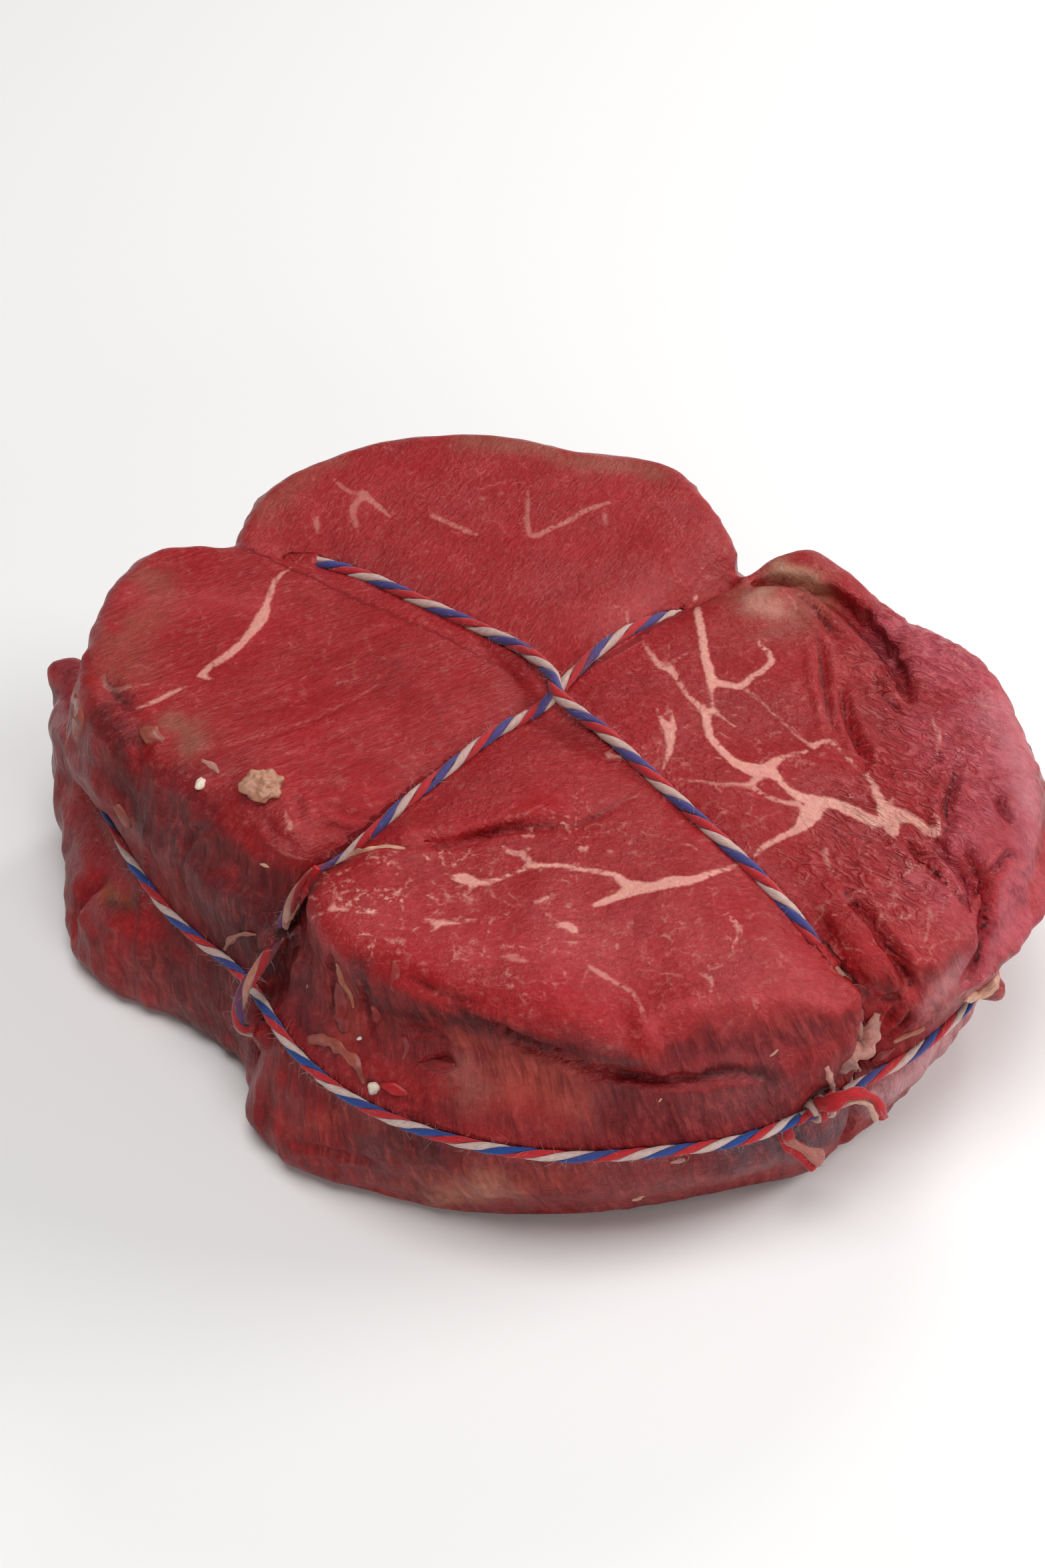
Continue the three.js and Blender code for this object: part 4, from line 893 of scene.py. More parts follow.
def lighten_underside(piece):
    """Thins the flat underside's mesh, which needs no detail."""
    select_only(piece)
    points, normals = corners_and_normals(piece.data)
    under = (points[:, 2] < 0.15 * MM) & (normals[:, 2] < -0.9)
    bpy.ops.object.mode_set(mode="EDIT")
    bpy.ops.mesh.select_mode(type="VERT")
    bpy.ops.mesh.select_all(action="DESELECT")
    bpy.ops.object.mode_set(mode="OBJECT")
    piece.data.vertices.foreach_set("select", under)
    bpy.ops.object.mode_set(mode="EDIT")
    bpy.ops.mesh.select_less()
    bpy.ops.mesh.decimate(ratio=0.06)
    bpy.ops.object.mode_set(mode="OBJECT")


# ------------------------------------------------------------------ the meat's marks

def paint(piece, tree):
    """Stores tones, among them painted shade and sheen, veins, the furrows for their lines of painted
    shade, film, marbling and grain directions at the vertices.
    """
    points, normals = corners_and_normals(piece.data)
    angle = angle_round(points)
    height = points[:, 2] / MM
    side = 1 - smooth(0.3, 0.72, normals[:, 2] + 0.12 * noise_at(points, 3 * MM, 6))
    side *= 1 - 0.6 * smooth(26, 29.5, height)
    crease = wrinkled(points, angle)
    around = np.radians(angle) * 42 + 0.25 * height
    store(piece.data, "lean", tones(points, normals, tree, side))
    store(piece.data, "side", side)
    store(piece.data, "vein", vein_field(points, normals, tree))
    store(piece.data, "fold", fold_shade_field(points, normals, tree))
    store(piece.data, "film", film(points, angle, height, side))
    store(piece.data, "crease", crease)
    store(piece.data, "marble", marbling(points, tree, angle) * (1 - side))
    store(piece.data, "wet", np.clip(0.5 + 0.5 * noise_at(points, 6 * MM, 8), 0, 1))
    store(piece.data, "top_grain", grain_on_top(points, angle))
    store(piece.data, "side_grain", np.stack([around, height, height * 0], axis=1))


def line_distances(points, normals, line, half_width):
    """The vertices near a line, how far in mm they are across it and in a straight line, both
    less its half width where they are nearest to it."""
    field = LineField(points, normals, line, 4 * MM)
    half = half_width(field.along)
    return field.rows, np.abs(field.side) / MM - half, field.distance / MM - half


def keep_nearest(fields, rows, across, straight, value):
    """Keeps a line's distances and value where it is nearer than the lines before it."""
    closer = straight < fields[rows, 1]
    fields[rows[closer], 0] = across[closer]
    fields[rows[closer], 1] = straight[closer]
    fields[rows[closer], 2] = value


def vein_field(points, normals, tree):
    """For each point its distances in mm from the edge of the nearest vein, across the vein
    and in a straight line, and the vein's strength."""
    veins = np.tile([9.0, 9.0, 0.0], (len(points), 1))
    for strength, marks in VEINS.values():
        line, shares, widths = traced_line(tree, marks)
        near = line_distances(points, normals, line,
                              lambda along: np.interp(along, shares, widths) / MM)
        keep_nearest(veins, *near, strength)
    return veins


def fold_shade_field(points, normals, tree):
    """For each point its distances in mm from the bottom of the nearest furrow, and that furrow's depth
    in mm, which place a line of painted shade along the furrow's bottom. Furrows less than 0.4 mm deep
    show no line."""
    folds = np.tile([9.0, 9.0, 0.0], (len(points), 1))
    for depth, width, _, pixels in FURROWS.values():
        if depth >= 0.4:
            line = curve_through(seen(tree, pixels)[0], 0.6 * MM)
            near = line_distances(
                points, normals, line,
                lambda along: 0.34 * width * np.sqrt(np.clip(np.sin(np.pi * along), 0, 1)))
            keep_nearest(folds, *near, depth)
    return folds


def tones(points, normals, tree, side):
    """The colour of the lean at each point, from named tones laid in soft patches, some of which are
    painted shade and painted sheen.
    """
    names = {name: np.array(linear(value)) for name, value in COLOURS.items()}
    colour = names["lean"] + (names["side"] - names["lean"]) * side[:, None]
    drift = 0.5 + 0.5 * noise_at(points, 7 * MM, 11)
    colour += (names["deep"] - colour) * (0.4 * drift * (1 - side))[:, None]
    wobble = 0.45 * noise_at(points, 2.2 * MM, 9) + 0.2 * noise_at(points, 0.9 * MM, 12)
    for name, width, strength, pixels in TONES.values():
        line = curve_through(seen(tree, pixels)[0], 0.001)
        field = LineField(points, normals, line, width * 2.6 * MM)
        away = np.clip(field.distance / (width * MM) + wobble[field.rows], 0, None)
        weight = strength * np.exp(-away ** 2)
        colour[field.rows] += (names[name] - colour[field.rows]) * weight[:, None]
    return np.concatenate([colour, np.ones((len(points), 1))], axis=1)


def film(points, angle, height, side):
    """Silverskin on the outside: strong low down at the right, thin at the back and a trace
    of it on the left roll."""
    right = belt_past_east((316, 326), (30, 44), angle) * (1 - smooth(14, 20, height))
    left = belt((190, 200), (212, 220), angle)
    back = belt((50, 70), (120, 140), angle)
    patchy = 0.65 + 0.5 * noise_at(points, 5 * MM, 10)
    return np.clip(side * patchy * (1.0 * right + 0.03 * left + 0.3 * back), 0, 1)


# Where the cut face is finely marbled: reach in mm, strength, and a pixel in the middle.
MARBLED = {
    "front_left": (7.0, 1.0, (545, 1345)),
    "front_up": (5.0, 0.7, (660, 1300)),
    "front_seam": (6.0, 0.6, (850, 1270)),
    "front_middle": (9.0, 0.45, (760, 1400)),
    "front_right": (8.0, 0.4, (1060, 1420)),
    "right_inner": (10.0, 0.4, (1100, 1120)),
    "right_low": (8.0, 0.45, (1330, 1350)),
    "back": (12.0, 0.25, (720, 780)),
    "left": (10.0, 0.15, (480, 1000)),
}


def marbling(points, tree, angle):
    """How finely marbled the cut face is at each point, from 0 to 1."""
    amount = np.full(len(points), 0.12)
    for reach, strength, pixel in MARBLED.values():
        middle = seen(tree, [pixel])[0][0]
        away = np.linalg.norm(points - middle, axis=1) / (reach * MM)
        amount = np.maximum(amount, strength * np.exp(-away ** 4))
    behind = belt((50, 70), (120, 150), angle)
    return amount * (1 - 0.3 * behind)


# The way that the fibres show on each lobe of the cut face: the angles that the lobe spans,
# the fibres' direction in plan in degrees, and how long they are drawn.
GRAIN = {
    "back": (45.4, 145.5, 60, 2.4),
    "left": (145.5, 222.6, 28, 4.0),
    "front": (222.6, 310, 8, 1.6),
    "right": (310, 405.4, 150, 2.2),
}


def grain_on_top(points, angle):
    """Millimetres along and across the fibres of the lobe that each point lies on."""
    run = np.zeros((len(points), 3))
    local = points / MM
    for low, high, way, drawn in GRAIN.values():
        here = ((angle >= low) & (angle < high)) | ((angle + 360 >= low) & (angle + 360 < high))
        turn = math.radians(way)
        along = local[:, 0] * math.cos(turn) + local[:, 1] * math.sin(turn)
        across = -local[:, 0] * math.sin(turn) + local[:, 1] * math.cos(turn)
        run[here] = np.stack([along / drawn, across, local[:, 2]], axis=1)[here]
    return run


# ------------------------------------------------------------------ the meat's material

def line_mask(node, field, waver, edges, reach):
    """Where a stored line shows, with wavering edges, and the value stored with it. Edges are
    the distances in mm across the line at which it starts and is full, and reach those in a
    straight line, which end it past its tips."""
    parts = node("SeparateXYZ", {0: field}).node.outputs
    across = node("Math", {0: parts["X"], 1: waver}, operation="ADD")
    inside = node("MapRange", {0: across, 1: edges[0], 2: edges[1]}, interpolation_type="SMOOTHSTEP")
    close = node("MapRange", {0: parts["Y"], 1: reach[0], 2: reach[1]})
    return node("Math", {0: inside, 1: close}, operation="MULTIPLY"), parts["Z"]


def raw_beef():
    """Moist raw beef: red lean with fine fibre, cream marbling, silverskin on its sides, and painted
    glints, sheen and shade on its folds and in its creases.
    """
    material, tree = new_material("raw_beef")
    node = partial(add, tree)
    times = partial(node, "Math", operation="MULTIPLY")
    over = partial(node, "Mix", output=MIXED, data_type="RGBA")
    colours = {name: (*linear(value), 1) for name, value in COLOURS.items()}
    place = node("TexCoord", output="Object")
    lean = node("Attribute", output="Color", attribute_name="lean")
    on_side, film_there, wet, crease, marbled = (
        node("Attribute", output="Fac", attribute_name=name)
        for name in ("side", "film", "wet", "crease", "marble"))
    vein_at, fold_shade_at, top_grain, side_grain = (
        node("Attribute", output="Vector", attribute_name=name)
        for name in ("vein", "fold", "top_grain", "side_grain"))

    # Fibre bundles 0.4 mm thick on the cut face, and 0.7 mm thick and 3 mm long down the sides.
    top_way = node("Mapping", {"Vector": top_grain, "Scale": (2.3, 2.3, 1.4)})
    side_way = node("Mapping", {"Vector": side_grain, "Scale": (1.5, 0.34, 1)})
    top_fibre = node("TexNoise", {"Vector": top_way, "Scale": 1.0, "Detail": 5,
                                  "Roughness": 0.6, "Distortion": 0.7})
    side_fibre = node("TexNoise", {"Vector": side_way, "Scale": 1.0, "Detail": 6,
                                   "Roughness": 0.6, "Distortion": 1.0})
    grain = node("Mix", {0: on_side, 2: top_fibre, 3: side_fibre})

    # Blotches about 5 mm wide, grains 0.8 mm wide and specks 0.3 mm wide.
    blotch = node("TexNoise", {"Vector": place, "Scale": 210, "Detail": 4, "Roughness": 0.55})
    grains = node("TexNoise", {"Vector": place, "Scale": 1250, "Detail": 3, "Roughness": 0.6})
    speck = node("TexNoise", {"Vector": place, "Scale": 3300, "Detail": 2, "Roughness": 0.6})

    # The lean: darker between the fibres, and lighter, pale or ember red along them.
    shade = grain
    for pattern, swing in ((blotch, 0.1), (grains, 0.05)):
        drift = node("MapRange", {0: pattern, 1: 0.3, 2: 0.7, 3: -swing, 4: swing})
        shade = node("Math", {0: shade, 1: drift}, operation="ADD")
    strength = node("MapRange", {0: on_side, 3: 0.45, 4: 1.0})
    between = times({0: node("MapRange", {0: shade, 1: 0.48, 2: 0.33, 4: 0.8}), 1: strength})
    darker = over({FACTOR: 1.0, UNDER: lean, OVER: (0.6, 0.42, 0.46, 1)}, blend_type="MULTIPLY")
    body = over({FACTOR: between, UNDER: lean, OVER: darker})
    lighter = over({FACTOR: 1.0, UNDER: lean, OVER: (1.45, 1.8, 1.75, 1)}, blend_type="MULTIPLY")
    tinge = over({FACTOR: on_side, UNDER: colours["pale"], OVER: colours["ember"]})
    light = over({FACTOR: node("MapRange", {0: on_side, 3: 0.6, 4: 0.3}),
                  UNDER: lighter, OVER: tinge})
    along = times({0: node("MapRange", {0: shade, 1: 0.52, 2: 0.67, 4: 0.85}), 1: strength})
    body = over({FACTOR: along, UNDER: body, OVER: light})

    # The fine folds of the soft lobe: painted shade, dark red, between them and a painted pink sheen on
    # their crests.
    fold_way = node("Mapping", {"Vector": top_grain, "Scale": (0.7, 0.9, 0.4)})
    folds = node("TexNoise", {"Vector": fold_way, "Scale": 1.0, "Detail": 3,
                              "Roughness": 0.5, "Distortion": 1.4})
    folds = node("Math", {0: folds, 1: 0.5}, operation="SUBTRACT")
    folds = node("Math", {0: folds}, operation="ABSOLUTE")
    valley_shade = times({0: node("MapRange", {0: folds, 1: 0.03, 2: 0.0, 4: 0.45}), 1: crease})
    crest_sheen = times({0: node("MapRange", {0: folds, 1: 0.05, 2: 0.13, 4: 0.22}), 1: crease})

    # Painted glints: short light strokes along the fibres of the cut face, 0.2 mm wide.
    glint_way = node("Mapping", {"Vector": top_grain, "Scale": (2.2, 4.5, 2.0)})
    painted_glints = node("TexNoise", {"Vector": glint_way, "Scale": 1.0, "Detail": 3,
                                "Roughness": 0.65, "Distortion": 0.5})
    on_top = node("Math", {0: 1.0, 1: on_side}, operation="SUBTRACT")
    painted_glints = times({0: node("MapRange", {0: painted_glints, 1: 0.58, 2: 0.7, 4: 0.28}), 1: on_top})
    painted_glints = times({0: painted_glints, 1: node("MapRange", {0: blotch, 1: 0.4, 2: 0.6, 3: 0.35})})

    # Fine marbling: a net of cells 3 mm wide with broken walls, and flecks between them.
    shift = node("TexNoise", {"Vector": place, "Scale": 600, "Detail": 3, "Roughness": 0.55},
                 output="Color")
    bent = node("VectorMath", {0: shift, 1: (1.6 * MM,) * 3, 2: place}, operation="MULTIPLY_ADD")
    net = node("TexVoronoi", {"Vector": bent, "Scale": 330}, output="Distance",
               feature="DISTANCE_TO_EDGE")
    walls = times({0: node("MapRange", {0: net, 1: 0.06, 2: 0.015}),
                   1: node("MapRange", {0: grains, 1: 0.45, 2: 0.6})})
    flecks = node("Math", {0: grains, 1: node("MapRange", {0: speck, 1: 0.3, 2: 0.7,
                                                           3: -0.06, 4: 0.06})}, operation="ADD")
    flecks = node("MapRange", {0: flecks, 1: 0.62, 2: 0.7, 4: 0.8})
    patches = node("TexNoise", {"Vector": place, "Scale": 420, "Detail": 2, "Roughness": 0.55})
    fine = times({0: node("Math", {0: walls, 1: flecks}, operation="MAXIMUM"),
                  1: node("MapRange", {0: patches, 1: 0.42, 2: 0.58})})
    fine = times({0: fine, 1: marbled})

    # Veins of fat, among them a few painted glints on the left lobe, and painted shade: dark red lines
    # at the bottom of the folds, both drawn by distance.
    waver = node("Math", {0: node("MapRange", {0: grains, 1: 0.25, 2: 0.75, 3: -0.13, 4: 0.13}),
                          1: node("MapRange", {0: speck, 1: 0.25, 2: 0.75, 3: -0.05, 4: 0.05})},
                 operation="ADD")
    vein, vein_strength = line_mask(node, vein_at, waver, (0.16, -0.16), (0.5, 0.2))
    vein = times({0: vein, 1: vein_strength})
    fatty = node("Math", {0: vein, 1: fine}, operation="MAXIMUM")
    fat_tone = over({FACTOR: node("MapRange", {0: grains, 1: 0.35, 2: 0.7}),
                     UNDER: colours["vein"], OVER: colours["fat"]})
    dark, depth = line_mask(node, fold_shade_at, waver, (0.22, -0.14), (0.6, 0.3))
    dark = times({0: dark, 1: node("MapRange", {0: depth, 1: 0.2, 2: 1.2, 3: 0.25, 4: 0.85})})

    # Silverskin: a greyish pink film in streaks down the sides.
    filmy = times({0: node("MapRange", {0: grain, 1: 0.35, 2: 0.65, 3: 0.35}), 1: film_there})

    # Laid over the lean in turn: painted shade and sheen on the fine folds, painted glints, fat, painted
    # shade along the furrows' bottoms, and silverskin.
    for factor, tone in ((valley_shade, colours["deep"]), (crest_sheen, colours["sheen"]),
                         (painted_glints, colours["sheen"]), (times({0: fatty, 1: 0.95}), fat_tone),
                         (dark, colours["night"]), (filmy, colours["mauve"])):
        body = over({FACTOR: factor, UNDER: body, OVER: tone})

    # Relief: fibres, grains and the fine wrinkles of the soft lobe, which hold the wet glints.
    ridges = times({0: node("MapRange", {0: folds, 2: 0.14}), 1: crease})
    height = times({0: grain, 1: node("MapRange", {0: on_side, 3: 0.5})})
    for layer, share in ((grains, 0.45), (speck, 0.12), (ridges, 0.5), (fatty, 0.12)):
        height = node("Math", {0: layer, 1: share, 2: height}, operation="MULTIPLY_ADD")
    bump = node("Bump", {"Height": height, "Strength": 1.0, "Distance": 0.46 * MM})

    # Meat juice: a thin clear coat in patches, with less of it on the sides.
    gloss = node("Math", {0: grains, 1: wet}, operation="ADD")
    coat = times({0: node("MapRange", {0: gloss, 1: 0.6, 2: 1.2, 3: 0.05, 4: 0.6}),
                  1: node("MapRange", {0: on_side, 3: 1.0, 4: 0.5})})
    roughness = node("MapRange", {0: gloss, 1: 0.5, 2: 1.4, 3: 0.5, 4: 0.34})
    links = {"Base Color": body, "Roughness": roughness, "Coat Weight": coat,
             "Normal": bump, "Coat Normal": bump}
    return finish(material, links, {
        "IOR": 1.38, "Specular IOR Level": 0.28, "Coat Roughness": 0.12, "Coat IOR": 1.33,
        "Subsurface Weight": 0.12, "Subsurface Scale": 1.2 * MM,
        "Subsurface Radius": (1.0, 0.3, 0.25)})


def chilled_fat(name, hex_colour):
    """Soft chilled fat: a waxy crumb with a slight shine and meat showing through in patches."""
    material, tree = new_material(name)
    node = partial(add, tree)
    mottle = node("TexNoise", {"Vector": node("TexCoord", output="Object"), "Scale": 1100, "Detail": 4})
    share = node("MapRange", {0: mottle, 1: 0.5, 2: 0.8, 4: 0.6})
    colour = node("Mix", {FACTOR: share, UNDER: (*linear(hex_colour), 1),
                          OVER: (*linear(COLOURS["meaty_fat"]), 1)}, output=MIXED, data_type="RGBA")
    bump = node("Bump", {"Height": mottle, "Strength": 0.5, "Distance": 0.3 * MM})
    return finish(material, {"Base Color": colour, "Normal": bump}, {
        "IOR": 1.45, "Roughness": 0.42, "Subsurface Weight": 0.3, "Subsurface Scale": 1.2 * MM,
        "Subsurface Radius": (1.0, 0.6, 0.4)})


# ------------------------------------------------------------------ strips and twine

# The strands' radii in mm: they are pulled tighter the lower they lie.
RADII = {"twine_cross_a": 0.64, "twine_cross_b": 0.6, "twine_ring": 0.53}
TWINE_STEP = 0.2                         # mm between two sections of a ply
# A ply's section: the angle in degrees and the share of the twine's radius at its corners.
PLY_SECTION = ((-58, 0.8), (-38, 0.95), (-13, 1.0), (13, 1.0), (38, 0.95), (58, 0.8),
               (20, 0.15), (-20, 0.15))
STRIP_CORNERS = 10
DYES = {"blue": "#12418c", "red": "#bc1a24", "white": "#cdb4ac"}
SOAKED_DYES = {"blue": "#742226", "red": "#9c161c", "white": "#ad6f5c"}


def run_along(line):
    """The length of the line up to each of its points, in metres."""
    return np.concatenate([[0], np.cumsum(np.linalg.norm(np.diff(line, axis=0), axis=1))])


def unit(vectors):
    """The vectors at length one."""
    return vectors / np.linalg.norm(vectors, axis=-1, keepdims=True)


def frames_along(line):
    """Two directions across the line at each of its points, without twist."""
    tangents = unit(np.gradient(line, axis=0))
    across = unit(np.cross(tangents[0], [0.1, 0.2, 1.0]))
    first = []
    for tangent in tangents:
        across = unit(across - tangent * (across @ tangent))
        first.append(across)
    first = np.array(first)
    return first, np.cross(tangents, first)


def beat(run, size, seed):
    """Soft noise along a length."""
    return noise_at(np.stack([run, run * 0, run * 0], axis=1), size * MM, seed)


def skinned(corners, run, colours):
    """A closed tube through rings of corners: vertices, faces, colours and lay."""
    count, rows = len(corners), len(run)
    vertices = np.stack(corners, axis=1).reshape(-1, 3)
    lay = [np.stack([np.full(rows, side / count), run / MM], axis=1) for side in range(count)]
    lay = np.stack(lay, axis=1).reshape(-1, 2)
    faces = []
    for row in range(rows - 1):
        for side in range(count):
            a = row * count + side
            b = row * count + (side + 1) % count
            faces.append((a, b, b + count, a + count))
    faces.append(tuple(reversed(range(count))))
    last = (rows - 1) * count
    faces.append(tuple(range(last, last + count)))
    return vertices, faces, np.repeat(colours, count, axis=0), lay


def ply_mesh(line, phase, radius, colours, seed):
    """One ply that winds round a line: its phase and radius are given at each point."""
    first, second = frames_along(line)
    run = run_along(line)
    phase = phase + 0.13 * beat(run, 2.2, seed)
    radius = radius * MM * (1 + 0.06 * beat(run, 0.9, seed + 1))
    corners = []
    for degrees, share in PLY_SECTION:
        way = phase + math.radians(degrees)
        out = first * np.cos(way)[:, None] + second * np.sin(way)[:, None]
        corners.append(line + out * (radius * share)[:, None])
    return skinned(corners, run, colours)


def strip_mesh(line, facing, widths, thickness, colours, seed):
    """A flat, uneven strip along a line: half widths and half thickness in metres."""
    tangents = unit(np.gradient(line, axis=0))
    facing = unit(facing - tangents * np.einsum("ij,ij->i", facing, tangents)[:, None])
    run = run_along(line)
    roll = (0.5 * beat(run, 2.5, seed))[:, None]
    across = np.cross(facing, tangents)
    across, facing = (across * np.cos(roll) + facing * np.sin(roll),
                      facing * np.cos(roll) - across * np.sin(roll))
    widths = widths * (1 + 0.4 * beat(run, 1.1, seed + 1))
    thick = thickness * np.sqrt(widths / widths.max())
    corners = []
    for number in range(STRIP_CORNERS):
        way = 2 * math.pi * number / STRIP_CORNERS
        rib = 1 + 0.3 * beat(run + number * 0.01, 0.8, seed + 2)
        corners.append(line + across * (math.cos(way) * widths)[:, None]
                       + facing * (math.sin(way) * thick * rib)[:, None])
    return skinned(corners, run, colours)


def joined(parts):
    """Several meshes as one."""
    vertices, faces, colours, lays, start = [], [], [], [], 0
    for part_vertices, part_faces, part_colours, part_lay in parts:
        vertices.append(part_vertices)
        faces.extend([tuple(i + start for i in face) for face in part_faces])
        colours.append(part_colours)
        lays.append(part_lay)
        start += len(part_vertices)
    return np.concatenate(vertices), faces, np.concatenate(colours), np.concatenate(lays)


def dyed(name, soaked):
    """A ply's colour along its length, where it is soaked with juice from 0 to 1."""
    clean = np.array([*linear(DYES[name]), 1.0])
    juice = np.array([*linear(SOAKED_DYES[name]), 1.0])
    return clean + (juice - clean) * np.clip(soaked, 0, 1)[:, None]


def soaked_along(line, spots):
    """How soaked the twine is along its line, from spots of place and reach in mm."""
    soaked = 0.06 + 0.1 * noise_at(line, 7 * MM, 21)
    for place, reach, strength in spots:
        away = np.linalg.norm(line - placed(place), axis=1) / (reach * MM)
        soaked = np.maximum(soaked, strength * np.exp(-away ** 2))
    return soaked


def winding(line, pixels, lay, closed):
    """The blue ply's direction round the line at each point. It winds to the left, once
    between each two pixels, where it faces the camera, and once in a lay beyond them."""
    first, second = frames_along(line)
    run = run_along(line)
    met = []
    for pixel in pixels:
        way = np.array(sight_line(pixel))
        row = row_at(line, pixel)
        met.append((run[row], math.atan2(-way @ second[row], -way @ first[row])))
    met.sort()
    places = np.array([place for place, _ in met])
    turns = np.unwrap([turn for _, turn in met]) - 2 * np.pi * np.arange(len(met))
    before = turns[0] + 2 * np.pi * places[0] / lay
    after = turns[-1] - 2 * np.pi * (run[-1] - places[-1]) / lay
    if closed:
        meet = before + math.atan2(first[0] @ second[-1], first[0] @ first[-1])
        after = meet - 2 * np.pi * round((meet - after) / (2 * np.pi))
    return np.interp(run, [0, *places, run[-1]], [before, *turns, after])


def three_ply(line, phase, radius, order, soaked, seed):
    """Three plies twisted to the left round a line."""
    parts = []
    for number, name in enumerate(order):
        parts.append(ply_mesh(line, phase + 2 * math.pi * number / 3, radius,
                              dyed(name, soaked), seed + 3 * number))
    return parts


def hair_mesh(point, heading, steps, step, thick, tint, rng):
    """One thin curved hair: vertices, faces, colours and lay."""
    bend = np.array([rng.uniform(-1, 1) for _ in range(3)]) * 0.3
    spine = []
    for _ in range(steps):
        spine.append(point)
        point = point + heading * step
        heading = unit(heading + bend + np.array([rng.uniform(-1, 1) for _ in range(3)]) * 0.25)
    spine = np.array(spine)
    first, second = frames_along(spine)
    thin = thick * np.linspace(1, 0.25, steps)[:, None]
    corners = []
    for corner in range(3):
        spin = 2 * math.pi * corner / 3
        corners.append(spine + (first * math.cos(spin) + second * math.sin(spin)) * thin)
    return skinned(corners, run_along(spine), np.tile([*tint, 1.0], (steps, 1)))


HAIR_TINTS = ["#c8bcb4"] * 5 + ["#b59a9a"] * 3 + ["#4f64a0", "#b0485a"]


def fuzz(line, count, seed, radius=0.6, longest=0.4):
    """Loose cotton hairs that stand off the twine, but none under the meat."""
    rng = random.Random(seed)
    first, second = frames_along(line)
    tints = [linear(tint) for tint in HAIR_TINTS]
    parts = []
    for _ in range(count):
        row = rng.randrange(2, len(line) - 2)
        way = rng.uniform(0, 2 * math.pi)
        if line[row][2] < 3 * MM:
            continue
        out = first[row] * math.cos(way) + second[row] * math.sin(way)
        along = unit(line[row + 1] - line[row])
        side = np.cross(along, out)
        heading = out * rng.uniform(0.2, 1) + along * rng.uniform(-1, 1) + side * rng.uniform(-1, 1)
        parts.append(hair_mesh(line[row] + out * radius * 0.9 * MM, unit(heading), 5,
                               rng.uniform(0.12, longest) * MM, 0.011 * MM, rng.choice(tints), rng))
    return joined(parts)


def fibrous(name, drawn, pattern, shades, relief_height, values):
    """A material in the piece's own dyes, with fibres along its lay. Drawn says how the
    pattern is mapped on the lay, which runs once round the piece and in mm along it."""
    material, tree = new_material(name)
    node = partial(add, tree)
    dye = node("Attribute", output="Color", attribute_name="dye")
    way = node("Mapping", {"Vector": node("UVMap", uv_map="lay"), **drawn})
    fibre = node("TexNoise", {"Vector": way, **pattern})
    shade = node("MapRange", {0: fibre, 1: 0.3, 2: 0.7, 3: shades[0], 4: shades[1]})
    grey = node("CombineXYZ", {0: shade, 1: shade, 2: shade})
    colour = node("Mix", {FACTOR: 1.0, UNDER: dye, OVER: grey}, output=MIXED, data_type="RGBA",
                  blend_type="MULTIPLY")
    bump = node("Bump", {"Height": fibre, "Strength": 0.7, "Distance": relief_height})
    return finish(material, {"Base Color": colour, "Normal": bump}, values)


def cotton():
    """Spun cotton, soft and matt: fibres about 0.15 mm apart round the ply and 0.7 mm long."""
    return fibrous("cotton_twine", {"Scale": (11, 1.0, 1), "Rotation": (0, 0, 0.5)},
                   {"Scale": 1.4, "Detail": 4, "Roughness": 0.65}, (0.62, 1.14), 0.12 * MM,
                   {"IOR": 1.5, "Roughness": 0.85, "Sheen Weight": 0.25, "Sheen Roughness": 0.4,
                    "Subsurface Weight": 0.08, "Subsurface Scale": 0.4 * MM})


def connective_tissue():
    """Wet shreds of connective tissue and fat: fibres about 0.3 mm thick and 1.4 mm long."""
    return fibrous("connective_tissue", {"Scale": (9, 0.7, 1)},
                   {"Scale": 1.0, "Detail": 4, "Roughness": 0.6, "Distortion": 0.8},
                   (0.68, 1.2), 0.2 * MM,
                   {"IOR": 1.4, "Roughness": 0.42, "Coat Weight": 0.2, "Coat Roughness": 0.2,
                    "Subsurface Weight": 0.2, "Subsurface Scale": 0.8 * MM,
                    "Subsurface Radius": (1.0, 0.45, 0.35)})


def cotton_hair():
    """Single cotton hairs, pale and matt."""
    material, tree = new_material("cotton_hair")
    dye = add(tree, "Attribute", output="Color", attribute_name="dye")
    return finish(material, {"Base Color": dye}, {"Roughness": 0.7})


# ------------------------------------------------------------------ settings

class TournedosSettings(bpy.types.PropertyGroup):
    """Sizes and colours that a user would change."""

    voxel: FloatProperty(
        name="Mesh size", description="Size of the meat's mesh cells",
        default=0.00048, min=0.0003, max=0.002, precision=5, unit="LENGTH")
    wrinkle: FloatProperty(
        name="Wrinkles", description="Height in mm of the wrinkles on the soft lobe",
        default=0.42, min=0, max=2)
    fibre: FloatProperty(
        name="Fibres", description="Height in mm of the fibre bundles on the sides",
        default=0.2, min=0, max=1)
    lay: FloatProperty(
        name="Twine lay", description="Length of one full twist of the twine",
        default=0.0074, min=0.002, max=0.02, precision=4, unit="LENGTH")
    hairs: IntProperty(
        name="Hairs", description="Loose hairs on each millimetre of twine",
        default=5, min=0, max=20)
    floor: FloatVectorProperty(
        name="Floor", description="Colour of the floor", subtype="COLOR",
        default=linear("#eeedec"), min=0, max=1)
    key_light: FloatProperty(
        name="Key light", description="Power of the light overhead, which the others follow",
        default=2.35, min=0, unit="POWER")


# ------------------------------------------------------------------ operators

